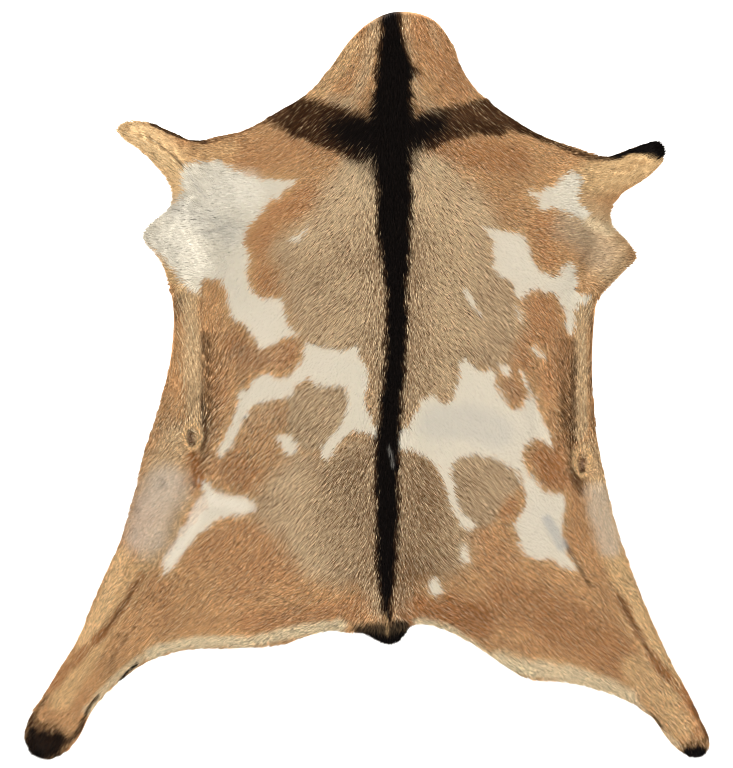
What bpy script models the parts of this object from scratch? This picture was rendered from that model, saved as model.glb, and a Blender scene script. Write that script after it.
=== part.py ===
"""A whole goatskin, tanned with its hair on, lying hair side up with the neck towards +Y.

The hide is one closed solid, skin and lying coat together. Its rim is a smooth curve
through named stretches of landmarks. The skin rests at height zero and rises only over its
folds, and the coat on top is deeper along the back and thinner towards the rim.
Tables are in millimetres, with X and Y measured from the middle of the hide.
"""

import math
from collections import namedtuple

import bmesh
import bpy
import numpy as np
from mathutils import Vector
from mathutils.geometry import delaunay_2d_cdt

MM = 0.001
FILL_INSIDE = 1            # the triangulation's mode that keeps to the inside of the rim

# Driving sizes, in millimetres
HIDE_LENGTH = 900.0        # neck edge to hind leg ends, along Y
SKIN_THICKNESS = 1.5
COAT_DEPTH = 4.2           # lying hair over the body
RIM_COAT_DEPTH = 1.3       # lying hair at the very rim
RIM_FADE = 26.0            # how far inside the rim the coat reaches its full depth
RIM_ROUND = 1.6            # how far the rim's upper and lower edges are drawn in
RIM_STEP = 10.0            # longest straight run along the rim
TOP_STEP = 19.0            # triangle size of the open coat
UNDER_STEP = 48.0          # triangle size of the flat underside
FOLD_STEP = 9.5            # triangle size on a fold, both sides
LEAST_LIFT = 0.15          # a fold's foot lower than this lies flat
LEAST_SHARE = 0.05         # a parting shallower than this share needs no fine triangles
END_SHARE = 0.04           # how near its own end a fold or parting still shows
CLEAR_SHARE = 0.45         # how far a grid keeps off the rim, in triangle sizes
JOIN_SHARE = 0.8           # how far the coarse grid keeps off the fine one, likewise
COAT_RIPPLE = 0.45         # unevenness of the coat's surface
RIPPLE_LENGTHS = (118.0, 83.0)   # across and along the hide
CURVE_POWER = 0.5          # centripetal spacing, which keeps tight turns from looping
CREASE_ANGLE = 50.0        # degrees past which an edge is shaded sharp
SAME_POINT = 1e-5          # corners nearer than this count as one

# The rim, one row for each stretch, clockwise from the top of the neck
RIM = (
    ("neck", ((2, 438), (28, 450), (56, 450), (82, 440), (102, 414), (115, 380))),
    ("right shoulder", ((132, 357), (167, 328), (207, 304), (245, 289), (272, 279))),
    ("right foreleg", ((290, 276), (316, 285), (340, 293), (354, 293), (360, 282),
                       (351, 262), (327, 242), (304, 227))),
    ("right armpit", ((294, 210), (297, 191), (312, 175), (326, 153), (313, 141),
                      (292, 119), (279, 102))),
    ("right flank", ((275, 80), (272, 34), (273, -18), (278, -66), (289, -119))),
    ("right thigh", ((301, -171), (322, -232), (346, -292), (374, -348), (399, -396))),
    ("right hind end", ((413, -429), (410, -444), (397, -451), (381, -445))),
    ("right shin", ((361, -427), (345, -404), (319, -385), (280, -369), (236, -359))),
    ("right rump", ((198, -356), (172, -344), (136, -320), (101, -299), (74, -290))),
    ("tail", ((54, -291), (47, -299), (39, -310), (24, -314), (9, -308), (-5, -301))),
    ("left rump", ((-25, -300), (-46, -297), (-74, -305), (-112, -315), (-164, -318))),
    ("left shin", ((-216, -320), (-253, -330), (-285, -348), (-313, -371), (-334, -398))),
    ("left hind end", ((-343, -417), (-351, -431), (-366, -444), (-387, -453),
                       (-406, -446), (-414, -424))),
    ("left thigh", ((-408, -403), (-385, -364), (-351, -308), (-323, -243), (-299, -189))),
    ("left flank", ((-283, -136), (-268, -76), (-250, -23), (-238, 34), (-235, 88))),
    ("left armpit", ((-242, 127), (-251, 153), (-269, 172), (-270, 184), (-253, 201),
                     (-239, 213))),
    ("left foreleg", ((-236, 231), (-247, 256), (-270, 279), (-292, 296), (-303, 309),
                      (-293, 317), (-262, 316))),
    ("left shoulder", ((-238, 307), (-208, 295), (-177, 301), (-147, 309), (-103, 334))),
    ("left side of the neck", ((-72, 353), (-45, 384), (-23, 415))),
)

# Folds: the skin rises to `height` along `path` and is flat again `reach` away
Fold = namedtuple("Fold", "name height reach path")
FOLDS = (
    Fold("left flank roll", 6.5, 30.0,
         ((-206, 108), (-212, 58), (-217, 8), (-219, -38), (-230, -76), (-238, -110))),
    Fold("left flank tuck", 4.0, 26.0, ((-172, 60), (-170, 2), (-176, -46), (-190, -90))),
    Fold("right flank roll", 6.0, 28.0,
         ((256, 96), (258, 30), (258, -34), (263, -74), (274, -116))),
    Fold("right flank tuck", 3.5, 26.0, ((219, 34), (217, -34), (222, -88), (238, -134))),
    Fold("left thigh fold", 6.0, 28.0,
         ((-246, -130), (-264, -180), (-294, -232), (-324, -276), (-350, -318))),
    Fold("left haunch tuck", 4.5, 28.0, ((-190, -166), (-210, -206), (-244, -242))),
    Fold("left knee crease", 4.5, 22.0, ((-258, -270), (-280, -300), (-296, -332))),
    Fold("right thigh fold", 6.0, 26.0,
         ((292, -204), (314, -256), (332, -300), (354, -338), (380, -374))),
    Fold("right haunch tuck", 4.5, 28.0, ((226, -184), (248, -218), (276, -248))),
    Fold("left foreleg crease", 5.0, 24.0, ((-272, 302), (-242, 282), (-208, 252))),
    Fold("right foreleg crease", 4.5, 24.0, ((344, 280), (312, 262), (272, 250))),
    Fold("left armpit swell", 5.0, 36.0, ((-242, 190), (-214, 178), (-200, 146))),
    Fold("right armpit swell", 5.5, 34.0, ((292, 186), (288, 160), (272, 128))),
    Fold("left hind leg arch", 5.0, 32.0, ((-330, -346), (-362, -392), (-384, -426))),
    Fold("right hind leg arch", 5.0, 28.0, ((352, -372), (378, -406), (396, -432))),
    Fold("neck edge curl", 3.5, 38.0, ((-16, 408), (22, 436), (60, 436), (94, 402))),
    Fold("left rump edge curl", 2.5, 34.0, ((-60, -300), (-120, -308), (-190, -312))),
    Fold("right rump edge curl", 2.5, 34.0, ((96, -300), (160, -330), (230, -348))),
)

# Partings: the coat lies lower along `path`, back to its usual depth `reach` away
Parting = namedtuple("Parting", "name depth reach path")
PARTINGS = (
    Parting("left flank valley", 2.2, 13.0,
            ((-190, 50), (-193, 8), (-192, -35), (-200, -68), (-212, -96), (-217, -120))),
    Parting("left flank whorl", 2.6, 12.0, ((-215, -62), (-213, -68))),
    Parting("right flank valley", 2.2, 13.0,
            ((243, 14), (241, -21), (243, -60), (248, -92), (258, -122))),
    Parting("right flank whorl", 2.6, 12.0, ((260, -96), (261, -101))),
    Parting("left thigh line", 2.0, 12.0,
            ((-222, -118), (-233, -164), (-258, -200), (-284, -250), (-318, -292))),
    Parting("right shin line", 1.6, 12.0,
            ((303, -257), (320, -295), (338, -328), (356, -350))),
)

# Swells: the coat is deeper by `rise` around `centre`, out to `reach`
Swell = namedtuple("Swell", "name rise reach centre")
SWELLS = (
    Swell("mane", 2.4, 74.0, (30, 392)),
    Swell("withers", 2.6, 88.0, (32, 300)),
    Swell("middle of the back", 1.0, 120.0, (28, 90)),
    Swell("loin", 1.0, 120.0, (24, -120)),
    Swell("tail tuft", 4.5, 34.0, (22, -298)),
    Swell("left hind end", 4.5, 44.0, (-384, -430)),
    Swell("right hind end", 4.5, 38.0, (398, -436)),
    Swell("left foreleg end", 3.0, 34.0, (-290, 306)),
    Swell("right foreleg end", 4.0, 36.0, (342, 280)),
)


def clear_scene():
    """Starts from an empty scene."""
    for old in list(bpy.data.objects):
        bpy.data.objects.remove(old, do_unlink=True)


def smooth_curve(points, step, closed):
    """Points along a centripetal Catmull-Rom curve, no further apart than step."""
    points = [np.array(point, float) for point in points]
    if closed:
        knots = [points[-1]] + points + points[:2]
    else:
        knots = [2 * points[0] - points[1]] + points + [2 * points[-1] - points[-2]]
    drawn = []
    for a, b, c, d in zip(knots, knots[1:], knots[2:], knots[3:]):
        t1 = np.linalg.norm(b - a) ** CURVE_POWER
        t2 = t1 + np.linalg.norm(c - b) ** CURVE_POWER
        t3 = t2 + np.linalg.norm(d - c) ** CURVE_POWER
        runs = max(1, math.ceil(np.linalg.norm(c - b) / step))
        for t in np.linspace(t1, t2, runs, endpoint=False):
            ab = ((t1 - t) * a + t * b) / t1
            bc = ((t2 - t) * b + (t - t1) * c) / (t2 - t1)
            cd = ((t3 - t) * c + (t - t2) * d) / (t3 - t2)
            abc = ((t2 - t) * ab + t * bc) / t2
            bcd = ((t3 - t) * bc + (t - t1) * cd) / (t3 - t1)
            drawn.append(((t2 - t) * abc + (t - t1) * bcd) / (t2 - t1))
    if not closed:
        drawn.append(points[-1])
    return np.array(drawn)


def rim_curve():
    """The hide's rim, with its box centred on the origin and HIDE_LENGTH long."""
    landmarks = [point for _, stretch in RIM for point in stretch]
    rim = smooth_curve(landmarks, RIM_STEP, closed=True)
    lowest, highest = rim.min(axis=0), rim.max(axis=0)
    rim -= (lowest + highest) / 2
    return rim * HIDE_LENGTH / (highest[1] - lowest[1])


def inward(loop):
    """Unit vectors that point into the hide at each point of its clockwise rim."""
    along = np.roll(loop, -1, axis=0) - np.roll(loop, 1, axis=0)
    along /= np.linalg.norm(along, axis=1)[:, None]
    return np.stack([along[:, 1], -along[:, 0]], axis=1)


def distances(points, line):
    """Each point's distance to each of a line's closely spaced points, one row a point."""
    gaps = points[:, None, :] - line[None, :, :]
    return np.sqrt((gaps ** 2).sum(axis=2))


def distance_to(points, line):
    """Each point's distance to the nearest point of a line."""
    return distances(points, line).min(axis=1)


def hump(distance, reach):
    """One at a distance of zero, falling smoothly to zero at reach."""
    share = np.clip(distance / reach, 0.0, 1.0)
    return np.cos(share * math.pi / 2) ** 2


def along_path(points, path, reach):
    """One on a path, zero beyond its reach, and fading towards both of its ends."""
    line = smooth_curve(path, FOLD_STEP / 3, closed=False)
    fade = np.sqrt(np.sin(math.pi * np.linspace(END_SHARE, 1 - END_SHARE, len(line))))
    return (fade * hump(distances(points, line), reach)).max(axis=1)


def skin_lift(points):
    """How far the folds raise the skin off the surface it lies on."""
    lift = np.zeros(len(points))
    for fold in FOLDS:
        lift = np.maximum(lift, fold.height * along_path(points, fold.path, fold.reach))
    return np.where(lift < LEAST_LIFT, 0.0, lift)


def thickness(points, rim):
    """Skin and lying coat together."""
    inside = 1.0 - hump(distance_to(points, rim), RIM_FADE)
    coat = RIM_COAT_DEPTH + (COAT_DEPTH - RIM_COAT_DEPTH) * inside
    across, along = RIPPLE_LENGTHS
    ripple = (np.sin(2 * math.pi * points[:, 0] / across)
              * np.sin(2 * math.pi * points[:, 1] / along))
    coat += COAT_RIPPLE * ripple * inside
    for swell in SWELLS:
        centre = np.array([swell.centre], float)
        coat += swell.rise * hump(distance_to(points, centre), swell.reach) * inside
    for parting in PARTINGS:
        coat -= parting.depth * along_path(points, parting.path, parting.reach) * inside
    return SKIN_THICKNESS + np.maximum(coat, RIM_COAT_DEPTH)


def inside_rim(points, loop):
    """Which points the closed loop holds, by counting its crossings to the right."""
    held = np.zeros(len(points), bool)
    for (ax, ay), (bx, by) in zip(loop, np.roll(loop, -1, axis=0)):
        spans = (ay > points[:, 1]) != (by > points[:, 1])
        if ay != by:
            crossing = ax + (points[:, 1] - ay) * (bx - ax) / (by - ay)
            held ^= spans & (points[:, 0] < crossing)
    return held


def staggered_grid(loop, step):
    """Points of an even triangular grid that lie inside the loop, clear of its edge."""
    (left, low), (right, high) = loop.min(axis=0), loop.max(axis=0)
    rise = step * math.sqrt(3) / 2
    rows = []
    for row in range(math.floor(low / rise), math.ceil(high / rise) + 1):
        start = step / 2 * (row % 2)
        xs = np.arange(math.floor(left / step) * step + start, right, step)
        rows.append(np.stack([xs, np.full(len(xs), row * rise)], axis=1))
    grid = np.concatenate(rows)
    grid = grid[inside_rim(grid, loop)]
    return grid[distance_to(grid, loop) > min(step, TOP_STEP) * CLEAR_SHARE]


def surface(loop, step):
    """Triangles that fill the loop, fine on the folds and as coarse as step elsewhere."""
    fine = staggered_grid(loop, FOLD_STEP)
    shaped = skin_lift(fine) > 0
    for parting in PARTINGS:
        shaped |= along_path(fine, parting.path, parting.reach) > LEAST_SHARE
    fine = fine[shaped]
    coarse = staggered_grid(loop, step)
    clear = distance_to(coarse, fine) > FOLD_STEP * JOIN_SHARE
    points = np.concatenate([loop, fine, coarse[clear]])
    corners = [Vector(point) for point in points]
    edge = list(range(len(loop)))
    _, _, faces, sources, _, _ = delaunay_2d_cdt(corners, [], [edge], FILL_INSIDE, SAME_POINT)
    order = [source[0] for source in sources]
    faces = [[order[corner] for corner in face] for face in faces]
    return points, faces


def add_sheet(mesh, points, faces, heights, upward):
    """Adds one side of the hide to the mesh and returns its corners."""
    corners = [mesh.verts.new((x * MM, y * MM, z * MM))
               for (x, y), z in zip(points, heights)]
    for face in faces:
        ring = [corners[index] for index in face]
        (ax, ay), (bx, by), (cx, cy) = (points[index] for index in face)
        anticlockwise = (bx - ax) * (cy - ay) - (by - ay) * (cx - ax) > 0
        mesh.faces.new(ring if anticlockwise == upward else ring[::-1])
    return corners


def add_wall(mesh, upper, lower):
    """Joins two loops of as many corners, the rim running clockwise."""
    count = len(upper)
    for here in range(count):
        there = (here + 1) % count
        mesh.faces.new((upper[here], upper[there], lower[there], lower[here]))


def coat_material():
    """Fawn goat hair: a soft, matt brown."""
    material = bpy.data.materials.new("fawn_goat_hair")
    material.use_nodes = True
    shader = material.node_tree.nodes["Principled BSDF"]
    shader.inputs["Base Color"].default_value = (0.445, 0.223, 0.093, 1.0)
    shader.inputs["Roughness"].default_value = 0.75
    shader.inputs["Metallic"].default_value = 0.0
    return material


def make_goatskin():
    """Builds the hide as one closed solid."""
    rim = rim_curve()
    drawn_in = rim + inward(rim) * RIM_ROUND
    mesh = bmesh.new()

    top_points, top_faces = surface(drawn_in, TOP_STEP)
    top_heights = skin_lift(top_points) + thickness(top_points, rim)
    top = add_sheet(mesh, top_points, top_faces, top_heights, upward=True)

    under_points, under_faces = surface(drawn_in, UNDER_STEP)
    under = add_sheet(mesh, under_points, under_faces, skin_lift(under_points), upward=False)

    middle = skin_lift(rim) + (SKIN_THICKNESS + RIM_COAT_DEPTH) / 2
    edge = [mesh.verts.new((x * MM, y * MM, z * MM)) for (x, y), z in zip(rim, middle)]
    add_wall(mesh, top[:len(rim)], edge)
    add_wall(mesh, edge, under[:len(rim)])

    data = bpy.data.meshes.new("goatskin")
    mesh.to_mesh(data)
    mesh.free()
    data.shade_smooth()
    data.set_sharp_from_angle(angle=math.radians(CREASE_ANGLE))
    data.materials.append(coat_material())
    hide = bpy.data.objects.new("goatskin", data)
    bpy.context.collection.objects.link(hide)
    return hide


clear_scene()
make_goatskin()
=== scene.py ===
"""A tanned goatskin with the hair on, laid flat with its hair up and seen from straight above.

The hide is one thin sheet of skin that carries four layers of short lying hair and a scatter of
longer guard hairs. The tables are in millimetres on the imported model: x to the right, y to the neck.
"""
import logging
import math
from collections.abc import Iterable, Sequence
from dataclasses import dataclass
from enum import Enum

import bmesh
import bpy
import numpy as np
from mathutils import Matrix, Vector, kdtree
from mathutils.bvhtree import BVHTree
from mathutils.geometry import delaunay_2d_cdt


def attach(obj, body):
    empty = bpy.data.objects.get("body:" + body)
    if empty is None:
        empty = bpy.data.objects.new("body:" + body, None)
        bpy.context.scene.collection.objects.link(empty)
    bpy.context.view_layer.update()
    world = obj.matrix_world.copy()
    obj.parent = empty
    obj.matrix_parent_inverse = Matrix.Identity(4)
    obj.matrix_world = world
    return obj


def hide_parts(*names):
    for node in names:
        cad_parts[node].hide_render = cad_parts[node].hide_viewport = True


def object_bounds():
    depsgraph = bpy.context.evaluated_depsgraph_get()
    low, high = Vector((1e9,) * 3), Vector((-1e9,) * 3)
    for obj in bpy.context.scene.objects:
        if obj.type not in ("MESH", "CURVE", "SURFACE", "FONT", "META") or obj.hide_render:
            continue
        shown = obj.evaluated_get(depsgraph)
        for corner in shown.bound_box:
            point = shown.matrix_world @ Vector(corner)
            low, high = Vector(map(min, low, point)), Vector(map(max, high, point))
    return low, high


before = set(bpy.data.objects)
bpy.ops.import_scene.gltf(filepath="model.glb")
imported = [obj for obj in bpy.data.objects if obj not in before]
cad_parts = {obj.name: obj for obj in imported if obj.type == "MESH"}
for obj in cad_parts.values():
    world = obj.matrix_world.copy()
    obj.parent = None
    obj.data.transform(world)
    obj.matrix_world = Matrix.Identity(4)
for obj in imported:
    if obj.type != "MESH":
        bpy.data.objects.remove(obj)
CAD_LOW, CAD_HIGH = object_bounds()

LOG = logging.getLogger("goatskin")
MM = 0.001
NODE = "goatskin"
BODY = "root"
COLOUR_ATTRIBUTE = "coat_colour"
STRAND_ATTRIBUTE = "strand"      # own tone, place from root to tip, how far tones show
LIE_ATTRIBUTE = "lie"            # which way the hair points
BAKE_MAP = "OFBake"
SAME_POINT = 1e-6                # corners nearer to each other than this count as one
FILL_INSIDE = 1                  # the triangulation's mode that keeps to the inside of the rim
NOISE_RANGE = (0.3, 0.7)         # where nearly all the values of a noise texture lie

Point = tuple[float, float]
Path = tuple[Point, ...]
Place = tuple[float, float, float]
Array = np.ndarray


class Pigment(Enum):
    """Colours of the hair and of the skin that shows through it, with painted shade and painted light,
    as sRGB hex.
    """

    FAWN = "#CA9866"
    RUST = "#BF8757"
    CHESTNUT = "#AA7042"
    GOLD = "#E0B782"
    HONEY = "#F5CB93"
    TAN = "#C9A67B"
    CREAM = "#ECD7AE"
    WHITE = "#E9DEC8"
    # Painted light: a paler white for the left side's white hair, as if lit more from the left
    CHALK = "#F8EEDA"
    UMBER = "#5F412A"
    SABLE = "#38210F"
    BLACK = "#0C0705"
    TICK_PALE = "#EBCFA5"
    TICK_DARK = "#5C3F28"
    GREY_SKIN = "#C8C2B6"
    # Painted shade: the grey of the shadow in the armpits' creases and hollows
    CREASE_GREY = "#A39B8E"
    BARE_SKIN = "#D6C8B6"

    def light(self) -> Array:
        """The colour's linear red, green and blue."""
        return np.array(linear(self.value)[:3])


@dataclass(frozen=True)
class Patch:
    """A patch of one colour of hair, inside a closed outline."""

    name: str
    edge: float             # how far its edge is mixed with the hair round it
    outline: Path


@dataclass(frozen=True)
class Wash:
    """A soft tint along a path, gone at reach from it."""

    name: str
    pigment: Pigment
    reach: float
    strength: float
    path: Path


@dataclass(frozen=True)
class Tone:
    """A stretch where the grizzled hair is paler than usual, or darker where paler is below 0."""

    name: str
    reach: float
    paler: float
    path: Path


@dataclass(frozen=True)
class StripeRow:
    """Where the dark back stripe starts and ends across the hide, at one y."""

    y: float
    left: float
    right: float


@dataclass(frozen=True)
class Whorl:
    """A rosette of hair that turns about a point; a positive turn is anticlockwise from above."""

    name: str
    reach: float
    turn: float
    centre: Point


@dataclass(frozen=True)
class Crease:
    """A soft trough in the hide along a path; a negative depth makes a low ridge."""

    name: str
    depth: float
    reach: float
    path: Path


@dataclass(frozen=True)
class Growth:
    """A place where the hair is longer, or livelier, by a factor, fading out at reach."""

    name: str
    reach: float
    factor: float
    centre: Point


# Markings and the lie of the hair, in millimetres on the hide. They were placed on the photograph, and
# then corrected from measured differences between it and the render.
WHITE_PATCHES = (
    Patch("left shoulder", 9,
        ((-214, 267), (-190, 270), (-170, 265), (-154, 255), (-133, 248), (-107, 245), (-86, 246),
         (-96, 236), (-106, 226), (-120, 218), (-126, 207), (-143, 189), (-148, 173), (-143, 157),
         (-145, 141), (-142, 122), (-133, 107), (-119, 104), (-103, 103), (-98, 89), (-98, 75),
         (-85, 60), (-102, 56), (-125, 44), (-132, 51), (-138, 62), (-151, 75), (-162, 82), (-166, 99),
         (-170, 114), (-180, 125), (-191, 128), (-198, 122), (-200, 106), (-214, 114), (-227, 129),
         (-240, 148), (-252, 160), (-265, 171), (-275, 184), (-261, 201), (-238, 213), (-228, 221),
         (-223, 238), (-226, 256))),
    Patch("left flank arch", 9,
        ((-71, 48), (-48, 44), (-29, 41), (-12, 46), (-9, 30), (-1, 20), (2, 2), (-3, -14), (0, -34),
         (10, -50), (11, -61), (1, -57), (-15, -57), (-31, -68), (-48, -89), (-53, -85), (-54, -73),
         (-37, -55), (-26, -37), (-22, -22), (-26, -7), (-35, -2), (-56, -2), (-71, 9), (-84, 2),
         (-98, -13), (-116, -19), (-131, -24), (-146, -37), (-156, -57), (-166, -75), (-175, -86),
         (-179, -79), (-173, -67), (-164, -50), (-158, -31), (-151, -8), (-143, -3), (-125, 11),
         (-104, 6), (-88, 16), (-76, 30), (-77, 41))),
    Patch("left flank fleck", 9,
        ((-107, -62), (-95, -61), (-84, -73), (-88, -81), (-97, -81), (-103, -72))),
    Patch("left shoulder fleck", 9, ((-94, 176), (-86, 179), (-76, 186), (-80, 178), (-88, 173))),
    Patch("left haunch", 9,
        ((-202, -115), (-193, -117), (-185, -125), (-175, -133), (-160, -135), (-145, -136),
         (-133, -151), (-145, -155), (-156, -156), (-170, -159), (-188, -168), (-203, -180),
         (-216, -195), (-228, -210), (-243, -229), (-247, -225), (-244, -215), (-237, -204),
         (-222, -182), (-208, -164), (-194, -147), (-193, -133), (-198, -122))),
    Patch("right shoulder", 9,
        ((196, 231), (213, 233), (227, 241), (238, 251), (249, 256), (258, 250), (257, 236), (256, 221),
         (266, 209), (262, 199), (252, 203), (240, 210), (225, 213), (209, 211), (206, 220))),
    Patch("right shoulder band", 9,
        ((139, 190), (155, 185), (173, 184), (190, 178), (195, 165), (201, 146), (215, 134), (227, 132),
         (239, 141), (246, 146), (252, 134), (252, 119), (257, 105), (272, 108), (263, 99), (252, 90),
         (249, 77), (246, 62), (240, 75), (235, 92), (228, 105), (215, 113), (201, 115), (191, 110),
         (184, 102), (178, 113), (174, 124), (162, 131), (154, 142), (151, 155), (153, 169),
         (147, 181))),
    Patch("right flank", 9,
        ((115, 28), (124, 26), (137, 15), (149, 18), (156, 10), (157, -3), (166, -18), (178, -29),
         (189, -26), (194, -14), (190, 2), (182, 17), (189, 11), (196, -4), (202, -18), (207, -30),
         (213, -49), (222, -72), (207, -65), (195, -71), (189, -81), (191, -98), (201, -114),
         (215, -128), (237, -135), (236, -152), (236, -168), (233, -186), (242, -205), (252, -223),
         (232, -213), (213, -209), (192, -204), (183, -182), (177, -168), (186, -156), (192, -139),
         (189, -121), (180, -105), (166, -95), (148, -87), (129, -84), (111, -89), (103, -99),
         (103, -116), (108, -135), (115, -152), (130, -169), (117, -173), (108, -161), (97, -131),
         (89, -109), (78, -92), (61, -81), (40, -77), (39, -61), (49, -51), (60, -34), (65, -22),
         (78, -15), (94, -22), (105, -16), (109, 0))),
    Patch("right hip fleck", 9, ((114, -195), (120, -191), (126, -210), (119, -213), (113, -207))),
    Patch("right rump fleck", 9,
        ((82, -231), (88, -238), (92, -246), (88, -254), (80, -251), (74, -243), (78, -238))),
    Patch("right back streak", 9,
        ((119, 114), (126, 107), (131, 96), (141, 81), (131, 87), (123, 100))),
    Patch("right rib streak", 9, ((179, 95), (184, 88), (186, 74), (182, 80))),
    Patch("right rib spot", 9, ((200, 44), (209, 40), (213, 33), (204, 35))),
    Patch("right flank spot", 9, ((160, 21), (167, 24), (174, 17), (167, 12))),
)

BLACK_PATCHES = (
    Patch("right arm of the cross", 40,
        ((30, 343), (51, 335), (62, 325), (78, 324), (94, 325), (100, 314), (92, 300), (74, 288),
         (60, 278), (52, 262), (30, 252))),
    Patch("left arm of the cross", 40,
        ((30, 343), (9, 343), (-1, 330), (-15, 324), (-34, 324), (-50, 318), (-52, 304), (-36, 288),
         (-20, 277), (-4, 266), (9, 248), (30, 246))),
    Patch("tail tuft", 12,
        ((-14, -292), (-2, -287), (14, -285), (26, -287), (38, -283), (52, -286), (56, -304),
         (40, -320), (22, -324), (4, -318), (-12, -306))),
    Patch("left hind end", 14,
        ((-404, -410), (-393, -415), (-381, -415), (-367, -416), (-361, -424), (-361, -433),
         (-371, -450), (-405, -450), (-414, -429))),
    Patch("right hind end", 7,
        ((385, -436), (394, -432), (404, -433), (410, -437), (407, -450), (388, -450), (380, -442))),
    Patch("right foreleg end", 5,
        ((292, 274), (300, 279), (320, 286), (336, 296), (357, 298), (364, 286), (362, 271), (346, 273),
         (332, 277), (317, 277), (304, 273))),
)

GRIZZLED_PATCHES = (
    Patch("left side of the back", 16,
        ((22, 283), (-2, 283), (-26, 263), (-46, 244), (-54, 225), (-66, 200), (-90, 182), (-112, 160),
         (-101, 133), (-98, 102), (-89, 78), (-73, 51), (-44, 40), (-18, 41), (0, 26), (6, -18),
         (6, -61), (-20, -66), (-47, -90), (-80, -83), (-102, -102), (-124, -128), (-133, -156),
         (-102, -183), (-83, -212), (-72, -226), (-44, -236), (-10, -238), (25, -243))),
    Patch("right side of the back", 16,
        ((34, 283), (70, 275), (97, 263), (121, 244), (143, 218), (155, 189), (148, 169), (151, 145),
         (170, 123), (179, 99), (184, 69), (167, 28), (136, 21), (114, 23), (106, -13), (78, -13),
         (61, -25), (42, -59), (42, -78), (70, -87), (91, -120), (107, -156), (124, -186), (112, -217),
         (88, -228), (58, -238), (30, -243))),
    Patch("left flank island", 6,
        ((-80, -8), (-59, -1), (-35, -3), (-24, -15), (-26, -37), (-38, -56), (-54, -73), (-71, -75),
         (-85, -66), (-92, -42), (-91, -20))),
    Patch("right flank island", 6,
        ((109, -92), (129, -85), (150, -87), (170, -98), (182, -116), (160, -138), (148, -164),
         (131, -167), (114, -150), (106, -123))),
)

# Grizzled hair beside the stripe of the neck, which fades out into the plain hair
GRIZZLE_BANDS = (
    Wash("neck left", Pigment.TICK_PALE, 12, 0.38,
        ((9, 439), (5, 415), (0, 391), (-6, 367), (-17, 340))),
    Wash("neck right", Pigment.TICK_PALE, 10, 0.25, ((46, 439), (51, 412), (55, 393))),
    Wash("neck right foot", Pigment.TICK_PALE, 13, 0.3, ((58, 362), (67, 344), (84, 326))),
    Wash("left of the cross", Pigment.TICK_PALE, 12, 0.7, ((-44, 345), (-20, 338))),
    Wash("left ribs", Pigment.TICK_PALE, 26, 0.3, ((-150, 40), (-112, 38))),
    Wash("left belly", Pigment.TICK_PALE, 26, 0.4, ((-138, -36), (-114, -36))),
    Wash("right flank spot", Pigment.TICK_PALE, 14, 0.35, ((170, 2), (176, -12))),
)

# The back stripe from the neck to the tail
BACK_STRIPE = (
    StripeRow(458, 19, 37),
    StripeRow(439, 19, 39),
    StripeRow(421, 17, 42),
    StripeRow(403, 15, 45),
    StripeRow(388, 15, 53),
    StripeRow(378, 14, 59),
    StripeRow(368, 13, 53),
    StripeRow(355, 11, 51),
    StripeRow(343, 9, 53),
    StripeRow(265, 9, 52),
    StripeRow(247, 13, 51),
    StripeRow(223, 16, 52),
    StripeRow(187, 13, 52),
    StripeRow(146, 19, 50),
    StripeRow(115, 24, 47),
    StripeRow(42, 24, 46),
    StripeRow(-18, 19, 42),
    StripeRow(-54, 13, 39),
    StripeRow(-90, 12, 37),
    StripeRow(-138, 11, 37),
    StripeRow(-186, 12, 36),
    StripeRow(-222, 13, 33),
    StripeRow(-246, 16, 29),
    StripeRow(-264, 21, 28),
    StripeRow(-284, 24, 27),
)

# Paler and browner hairs in the black
BLACK_STREAKS = (
    Wash("grey hairs of the loin", Pigment.GREY_SKIN, 3.5, 0.22, ((26, -76), (30, -88), (31, -98))),
    Wash("brown hairs of the tail", Pigment.TAN, 10, 0.1, ((-10, -291), (18, -293), (44, -292))),
    Wash("gold hairs of the tail", Pigment.GOLD, 3, 0.36, ((22, -276), (24, -290), (25, -300))),
    Wash("left hoof", Pigment.UMBER, 18, 0.1, ((-400, -428), (-372, -432))),
)

# Where the hair lies in long pale and dark locks
LOCKS = (
    Wash("left flank band", Pigment.CREAM, 22, 0.55,
        ((-222, 104), (-215, 60), (-212, 12), (-211, -30), (-216, -60))),
    Wash("left groin", Pigment.CREAM, 26, 0.35, ((-230, -30), (-246, -72), (-256, -104))),
    Wash("right flank band", Pigment.CREAM, 14, 0.55, ((264, 100), (261, 48), (261, -6), (261, -66))),
    Wash("left foreleg", Pigment.CREAM, 24, 0.5, ((-292, 306), (-258, 290), (-234, 258))),
    Wash("right foreleg", Pigment.CREAM, 28, 0.2, ((268, 240), (306, 258), (346, 276))),
    Wash("right armpit", Pigment.CREAM, 30, 0.25, ((256, 196), (286, 172), (290, 146))),
    Wash("neck left", Pigment.CREAM, 15, 0.38, ((6, 439), (0, 400), (-10, 366), (-22, 342))),
    Wash("neck right foot", Pigment.CREAM, 11, 0.5, ((56, 368), (66, 346), (82, 330))),
)

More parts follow.
